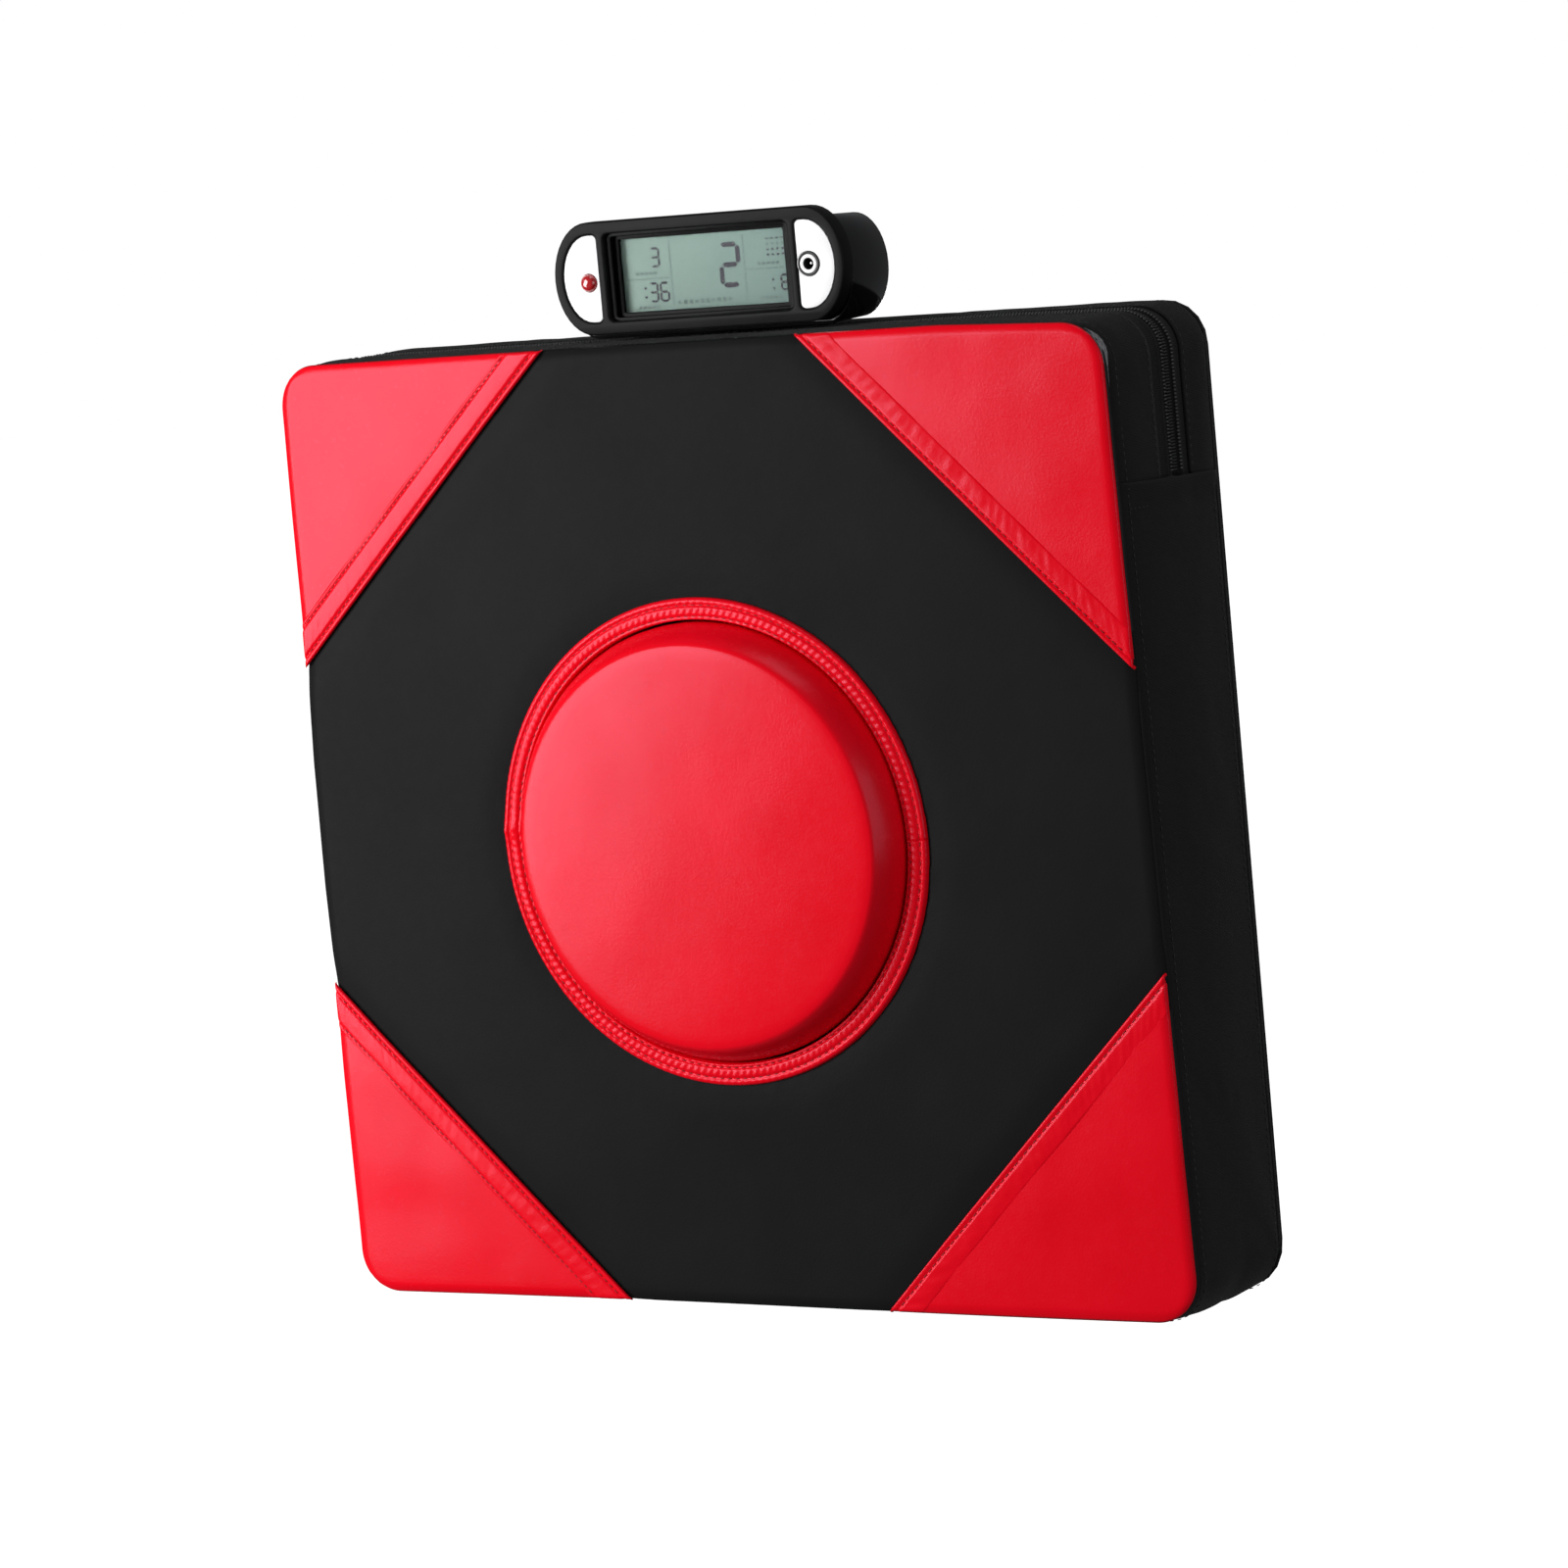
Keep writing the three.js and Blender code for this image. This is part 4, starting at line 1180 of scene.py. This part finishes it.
def makeRearPanel():
    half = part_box("rear_panel")[1].x
    bm = faceGrid(-half, half, -half, half, 4 * mm)
    eyelets = {place: sum(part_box("eyelet_" + place), Vector()) / 2 for place in cornerNames}

    def fromEyelet(x, z):
        return min(math.hypot(x - eye.x, z - eye.z) for eye in eyelets.values())

    middles = {face: face.calc_center_median() for face in bm.faces}
    near = [face for face, middle in middles.items() if fromEyelet(middle.x, middle.z) < back["opening"]]
    bmesh.ops.delete(bm, geom=near, context="FACES")
    bmesh.ops.reverse_faces(bm, faces=bm.faces)
    flatMap = bm.loops.layers.uv.new("cloth")
    for vertex in bm.verts:
        x, z = roundCorner(vertex.co.x, vertex.co.z, half, padCorner)
        drop = rollOff(edgeDistance(x, z, half, padCorner), 6 * mm, 1.5 * mm)
        calm = min(1, fromEyelet(x, z) / (18 * mm))
        wave = 0.5 * mm * calm * ripple(x, 0, z, 45 * mm, 12)
        vertex.co = settled(Vector((x, back["level"] - drop + wave, z)))
    for face in bm.faces:
        for loop in face.loops:
            loop[flatMap].uv = (loop.vert.co.x, loop.vert.co.z)
    panel = newMesh("rearPanel", bm, rearCloth)
    thicken(panel, 0.8 * mm)
    fit(panel, "pad", "black_cloth", "rear_panel")
    for place, eye in eyelets.items():
        makeEyelet(place, eye)


def makeEyelet(place, eye):
    bm = bmesh.new()
    middle = (back["eyeletRadius"] + back["eyeletHole"]) / 2
    half = (back["eyeletRadius"] - back["eyeletHole"]) / 2
    start = Vector((eye.x + middle, back["level"] + 0.2 * mm, eye.z))
    squashed = Matrix.Translation(start) @ Matrix.Diagonal((half, 0.75 * mm, 1, 1))
    outline = bmesh.ops.create_circle(bm, segments=16, radius=1, matrix=squashed)["verts"]
    bmesh.ops.spin(bm, geom=outline + edgesOf(outline), cent=(eye.x, 0, eye.z), axis=(0, 1, 0),
                   angle=2 * math.pi, steps=40, use_merge=True)
    bmesh.ops.remove_doubles(bm, verts=bm.verts, dist=0.01 * mm)
    bmesh.ops.recalc_face_normals(bm, faces=bm.faces)
    eyelet = newMesh("eyeletRing_" + place, bm, blackMetal)
    fit(eyelet, "pad", "dark_metal", "eyelet_" + place)


makeRearPanel()
print("back made")


# counter
bezelLow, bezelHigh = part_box("meter_bezel")
shellLow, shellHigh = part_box("meter_shell")
meterFront = bezelLow.y
meterRear = shellHigh.y
bezelZ = (bezelLow.z + bezelHigh.z) / 2
shellZ = (shellLow.z + shellHigh.z) / 2
meter = {
    "halfWide": (bezelHigh.x - bezelLow.x) / 2,
    "halfHigh": (bezelHigh.z - bezelLow.z) / 2,
    "shellHalfWide": (shellHigh.x - shellLow.x) / 2,
    "shellHalfHigh": (shellHigh.z - shellLow.z) / 2,
    "endReach": 17.5 * mm,
    "bezelDeep": 8.4 * mm,
    "edge": 1.5 * mm,
    "windowHalf": (44.5 * mm, 18.2 * mm),
    "viewHalf": (39.6 * mm, 15.2 * mm),
    "plateInner": 48 * mm,
    "rim": 4.6 * mm,
    "controlX": (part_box("charge_jack")[0].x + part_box("charge_jack")[1].x) / 2,
    "buttonZ": (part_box("mode_button")[0].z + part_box("mode_button")[1].z) / 2,
    "shellReach": 14 * mm,
    "taper": 0.9 * mm,
}
controls = {-1: meter["buttonZ"], 1: bezelZ}


def ovalOutline(halfWide, halfHigh, reach, centreZ, steps=20):
    points = []
    for side in (0, 1):
        for step in range(steps + 1):
            angle = math.pi * (side - 0.5 + step / steps)
            x = (halfWide - reach) * (1 if side == 0 else -1) + reach * math.cos(angle)
            points.append((x, centreZ + halfHigh * math.sin(angle)))
    return points


def endOutline(side, grow, steps=16, corner=2.2 * mm):
    reach = meter["endReach"] - meter["rim"] + grow
    high = meter["halfHigh"] - meter["rim"] - 0.9 * mm + grow
    outer = meter["halfWide"] - meter["rim"] + grow
    inner = meter["plateInner"] - grow
    points = []
    for index, z in ((0, -high), (1, high)):
        flip = -1 if index == 0 else 1
        bend = []
        for step in range(5):
            angle = math.pi / 2 * step / 4
            bend.append((inner + corner * (1 - math.cos(angle)), z - flip * corner * (1 - math.sin(angle))))
        if index == 0:
            points += bend
            for step in range(steps + 1):
                turn = math.pi * (step / steps - 0.5)
                points.append((outer - reach + reach * math.cos(turn), high * math.sin(turn)))
        else:
            points += bend[::-1]
    return [(x * side, bezelZ + z) for x, z in points]


def circleOutline(x, z, radius, steps=28):
    angles = [2 * math.pi * step / steps for step in range(steps)]
    return [(x + radius * math.cos(angle), z + radius * math.sin(angle)) for angle in angles]


# a round-cornered opening in the middle of the counter's face
def openingOutline(halfWide, halfHigh, corner):
    return roundedOutline(-halfWide, halfWide, bezelZ - halfHigh, bezelZ + halfHigh, corner)


def joined(name, parts, material):
    bm = bmesh.new()
    for part in parts:
        bm.from_mesh(part.data)
        bpy.data.objects.remove(part)
    piece = newMesh(name, bm, material)
    piece.data.set_sharp_from_angle(angle=math.radians(50))
    return piece


def makeBezel():
    windowX, windowZ = meter["windowHalf"]
    window = openingOutline(windowX, windowZ, 2.6 * mm)
    outline = ovalOutline(meter["halfWide"], meter["halfHigh"], meter["endReach"], bezelZ)
    front = plate("bezelFront", [outline, window, endOutline(-1, 0.25 * mm), endOutline(1, 0.25 * mm)],
                  meter["bezelDeep"], meter["edge"] * 0.55, satinCase, 4)
    moveBack(front, meterFront + meter["bezelDeep"] / 2)
    fit(front, "pad", "black_gloss", "meter_bezel")
    floorPlates = []
    for side in (-1, 1):
        hole = circleOutline(side * meter["controlX"], controls[side], 4.2 * mm if side < 0 else 5.3 * mm)
        web = plate("bezelWeb", [endOutline(side, 0.2 * mm), hole], 2 * mm, 0.1 * mm, innerBlack)
        floorPlates.append(moveBack(web, meterFront + 3.4 * mm))
    webs = joined("bezelWebs", floorPlates, innerBlack)
    fit(webs, "pad", "black_gloss")


def makeShell():
    frontY = meterFront + meter["bezelDeep"] - 0.6 * mm
    wide, high, reach = meter["shellHalfWide"], meter["shellHalfHigh"], meter["shellReach"]
    outline = ovalOutline(wide, high, reach, shellZ)
    inside = ovalOutline(wide - 2 * mm, high - 2 * mm, reach - 2 * mm, shellZ)
    long = meterRear - frontY - 1.5 * mm
    wall = plate("shellWall", [outline, inside], long, 0.3 * mm, glossCase)
    moveBack(wall, frontY + long / 2)
    holes = [circleOutline(0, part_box("sensor_cable")[1].z - 1.5 * mm, 2.4 * mm)]
    for place in cornerNames:
        middle = sum(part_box("meter_screw_" + place), Vector()) / 2
        holes.append(circleOutline(middle.x, middle.z, 1.4 * mm))
    rear = plate("shellRear", [outline, *holes], 3.2 * mm, 1.2 * mm, glossCase, 5)
    moveBack(rear, meterRear - 1.6 * mm)
    shell = joined("meterShell", [wall, rear], glossCase)
    for vertex in shell.data.vertices:
        share = (vertex.co.y - frontY) / (meterRear - frontY)
        spread = 1 + 0.018 * (1 - share) + 0.016 * share
        vertex.co.x *= spread
        vertex.co.z = shellZ + (vertex.co.z - shellZ) * (1 + meter["taper"] * (0.5 - share) / high)
    fit(shell, "pad", "black_gloss", "meter_shell")


def makeDisplay():
    viewX, viewZ = meter["viewHalf"]
    windowX, windowZ = meter["windowHalf"]
    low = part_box("lcd_carrier")[0]
    view = openingOutline(viewX, viewZ, 0.8 * mm)
    step = openingOutline(viewX + 2.4 * mm, viewZ + 1.5 * mm, 1.2 * mm)
    rim = openingOutline(windowX + 1.8 * mm, windowZ + 1.6 * mm, 2 * mm)
    outer = plate("carrierStep", [rim, step], 1.5 * mm, 0.3 * mm, innerBlack)
    moveBack(outer, low.y - 1.6 * mm)
    lip = plate("carrierLip", [rim, view], 1.5 * mm, 0.25 * mm, innerBlack)
    moveBack(lip, low.y + 0.75 * mm)
    carrier = joined("lcdCarrier", [outer, lip], innerBlack)
    fit(carrier, "pad", "black_gloss", "lcd_carrier")


inkDeep = 0.06 * mm
segmentsOf = {"1": "bc", "2": "abged", "3": "abgcd", "6": "acdefg", "8": "abcdefg"}


def inkBar(bm, x, z, wide, high, level, tip):
    shape = Matrix.Translation((x, level, z)) @ Matrix.Diagonal((wide, inkDeep, high, 1))
    made = bmesh.ops.create_cube(bm, size=1, matrix=shape)
    if tip:
        upright = [edge for edge in edgesOf(made["verts"])
                   if abs(edge.verts[0].co.y - edge.verts[1].co.y) > inkDeep / 2]
        bmesh.ops.bevel(bm, geom=upright, offset=min(wide, high) * 0.42, segments=1, profile=0.5,
                        affect="EDGES", material=-1)


def inkDigit(bm, symbol, x, z, high, level, stroke):
    wide = high * 0.5
    long, tall = wide - stroke * 0.55, high / 2 - stroke * 0.4
    places = {
        "a": (0, high / 2, True), "g": (0, 0, True), "d": (0, -high / 2, True),
        "f": (-wide / 2, high / 4, False), "b": (wide / 2, high / 4, False),
        "e": (-wide / 2, -high / 4, False), "c": (wide / 2, -high / 4, False),
    }
    for letter in segmentsOf[symbol]:
        shiftX, shiftZ, flat = places[letter]
        size = (long, stroke) if flat else (stroke, tall)
        inkBar(bm, x + shiftX, z + shiftZ, *size, level, True)


def makeLcd():
    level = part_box("lcd_panel")[0].y - 0.08 * mm
    dark, pale = bmesh.new(), bmesh.new()
    inkDigit(dark, "3", -24.3 * mm, bezelZ + 6.8 * mm, 7.4 * mm, level, 1.0 * mm)
    inkDigit(dark, "3", -26.2 * mm, bezelZ - 7.6 * mm, 7.4 * mm, level, 1.0 * mm)
    inkDigit(dark, "6", -20.9 * mm, bezelZ - 7.6 * mm, 7.4 * mm, level, 1.0 * mm)
    inkDigit(dark, "2", 11.6 * mm, bezelZ + 1.6 * mm, 16.6 * mm, level, 2.1 * mm)
    for dot in (-9.4, -5.8):
        inkBar(dark, -30.2 * mm, bezelZ + dot * mm, 1.1 * mm, 1.1 * mm, level, False)
        inkBar(dark, 31.6 * mm, bezelZ + dot * mm, 1.0 * mm, 1.0 * mm, level, False)
    # small figures at the right are only partly driven
    for x in (30.2, 32.6, 35.0, 37.4):
        for up in (4.6, 6.8, 9.0, 11.2):
            ink = dark if up < 7 or up > 11 else pale
            inkBar(ink, x * mm, bezelZ + up * mm, 1.1 * mm, 0.9 * mm, level, False)
    inkDigit(dark, "8", 37.0 * mm, bezelZ - 7.0 * mm, 6.0 * mm, level, 1.0 * mm)
    for x in (-17.0, 18.6):
        inkBar(pale, x * mm, bezelZ, 0.4 * mm, 27.5 * mm, level, False)
    inkBar(pale, -28.4 * mm, bezelZ - 1.9 * mm, 20.6 * mm, 0.4 * mm, level, False)
    inkBar(pale, 29.0 * mm, bezelZ - 0.9 * mm, 19.4 * mm, 0.4 * mm, level, False)
    for number in range(10):
        high = (1.9 if number % 3 else 1.3) * mm
        inkBar(pale, (-14.0 + number * 2.7) * mm, bezelZ - 12.4 * mm, 1.8 * mm, high, level, False)
    for x, up in ((-30.5, 0.4), (-30.5, -13.6), (28.6, 1.2), (28.6, -12.9)):
        for number in range(5):
            inkBar(pale, (x - 3 + number * 2.2) * mm, bezelZ + up * mm, 1.6 * mm, 1.2 * mm, level, False)
    digits = newMesh("lcdDigits", dark, inkGrey, False)
    fit(digits, "pad", "lcd")
    marks = newMesh("lcdMarks", pale, paleInk, False)
    fit(marks, "pad", "lcd")


def makeEndPlates():
    thickness = 1.6 * mm
    for side, name, radius, node in ((-1, "endPlateLeft", 3.95 * mm, "end_plate_left"),
                                     (1, "endPlateRight", 5.2 * mm, "end_plate_right")):
        hole = circleOutline(side * meter["controlX"], controls[side], radius)
        face = plate(name, [endOutline(side, 0), hole], thickness, 0.2 * mm, whitePlate)
        moveBack(face, meterFront + 0.5 * mm + thickness / 2)
        fit(face, "pad", "white_plastic", node)


def turned(name, x, z, outline, material, sides=40):
    piece = newMesh(name, spinProfile(x, z, outline, sides, 0.005 * mm), material)
    piece.data.set_sharp_from_angle(angle=math.radians(42))
    return piece


def makeControls():
    x = -meter["controlX"]
    low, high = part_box("mode_button")
    cap = [(0, low.y)]
    for step in range(1, 7):
        angle = math.radians(step * 14)
        cap.append((3.2 * mm * math.sin(angle), low.y + 1.5 * mm * (1 - math.cos(angle))))
    cap += [(3.65 * mm, low.y + 1.9 * mm), (3.7 * mm, low.y + 6.2 * mm), (5.1 * mm, low.y + 6.2 * mm),
            (5.1 * mm, low.y + 7.2 * mm), (1.5 * mm, low.y + 7.2 * mm), (1.5 * mm, high.y), (0, high.y)]
    button = turned("modeButton", x, meter["buttonZ"], cap, redButton)
    fit(button, "button", "red_plastic", "mode_button")
    x = meter["controlX"]
    front = meterFront - 0.1 * mm
    # each profile is (radius, depth behind the bezel's face) in millimetres
    for name, profile, material, slotName, node, sides in (
            ("chargeJack", ((2.3, 9), (2.3, 0.5), (2.5, 0.35), (3.6, 0.35), (3.75, 0.5), (4.0, 0.5),
                            (4.1, 0.1), (4.4, 0), (4.8, 0), (4.95, 0.2), (4.95, 14.7), (0, 14.7)),
             mattBlack, "black_plastic", ["charge_jack"], 40),
            ("jackCollar", ((2.45, 0.6), (2.45, 0.22), (2.6, 0.12), (3.75, 0.12), (3.9, 0.22), (3.9, 0.6),
                            (2.45, 0.6)), whitePlate, "white_plastic", [], 40),
            ("jackPin", ((0, 2.4), (0.45, 2.5), (0.65, 2.9), (0.65, 9), (0, 9)),
             screwSteel, "steel", [], 20)):
        outline = [(radius * mm, front + depth * mm) for radius, depth in profile]
        fit(turned(name, x, bezelZ, outline, material, sides), "pad", slotName, *node)


makeBezel()
makeShell()
makeDisplay()
makeLcd()
makeEndPlates()
makeControls()
print("counter made")


# parts that keep their shape
def keepNode(node, material, bevel=0.0):
    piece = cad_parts[node]
    for slotIn in piece.material_slots:
        slotIn.material = material
    if not piece.material_slots:
        piece.data.materials.append(material)
    if bevel:
        weld = piece.modifiers.new("weld", "WELD")
        weld.merge_threshold = 0.005 * mm
        edge = piece.modifiers.new("edge", "BEVEL")
        edge.width = bevel
        edge.segments = 2
        edge.limit_method = "ANGLE"
        edge.angle_limit = math.radians(40)


for node, material, bevel in (
        ("target_foam", padFoam, 0), ("shock_foam", padFoam, 0), ("base_foam", padFoam, 0),
        ("impact_plate", mattBlack, 0.3 * mm), ("impact_sensor", screwSteel, 0.2 * mm),
        ("sensor_cable", mattBlack, 0), ("backboard", boardWood, 0.5 * mm),
        ("meter_neck", mattBlack, 0.6 * mm), ("lcd_window", clearWindow, 0), ("lcd_panel", lcdBack, 0),
        ("button_switch", mattBlack, 0.1 * mm), ("circuit_board", circuitGreen, 0),
        ("battery", cellBlue, 0.8 * mm)):
    keepNode(node, material, bevel)
for side in ("left", "right"):
    keepNode("neck_screw_" + side, screwSteel)
    keepNode("mount_screw_" + side, screwSteel)
for place in cornerNames:
    keepNode("meter_screw_" + place, screwSteel, 0.15 * mm)
print("carried-over parts painted")
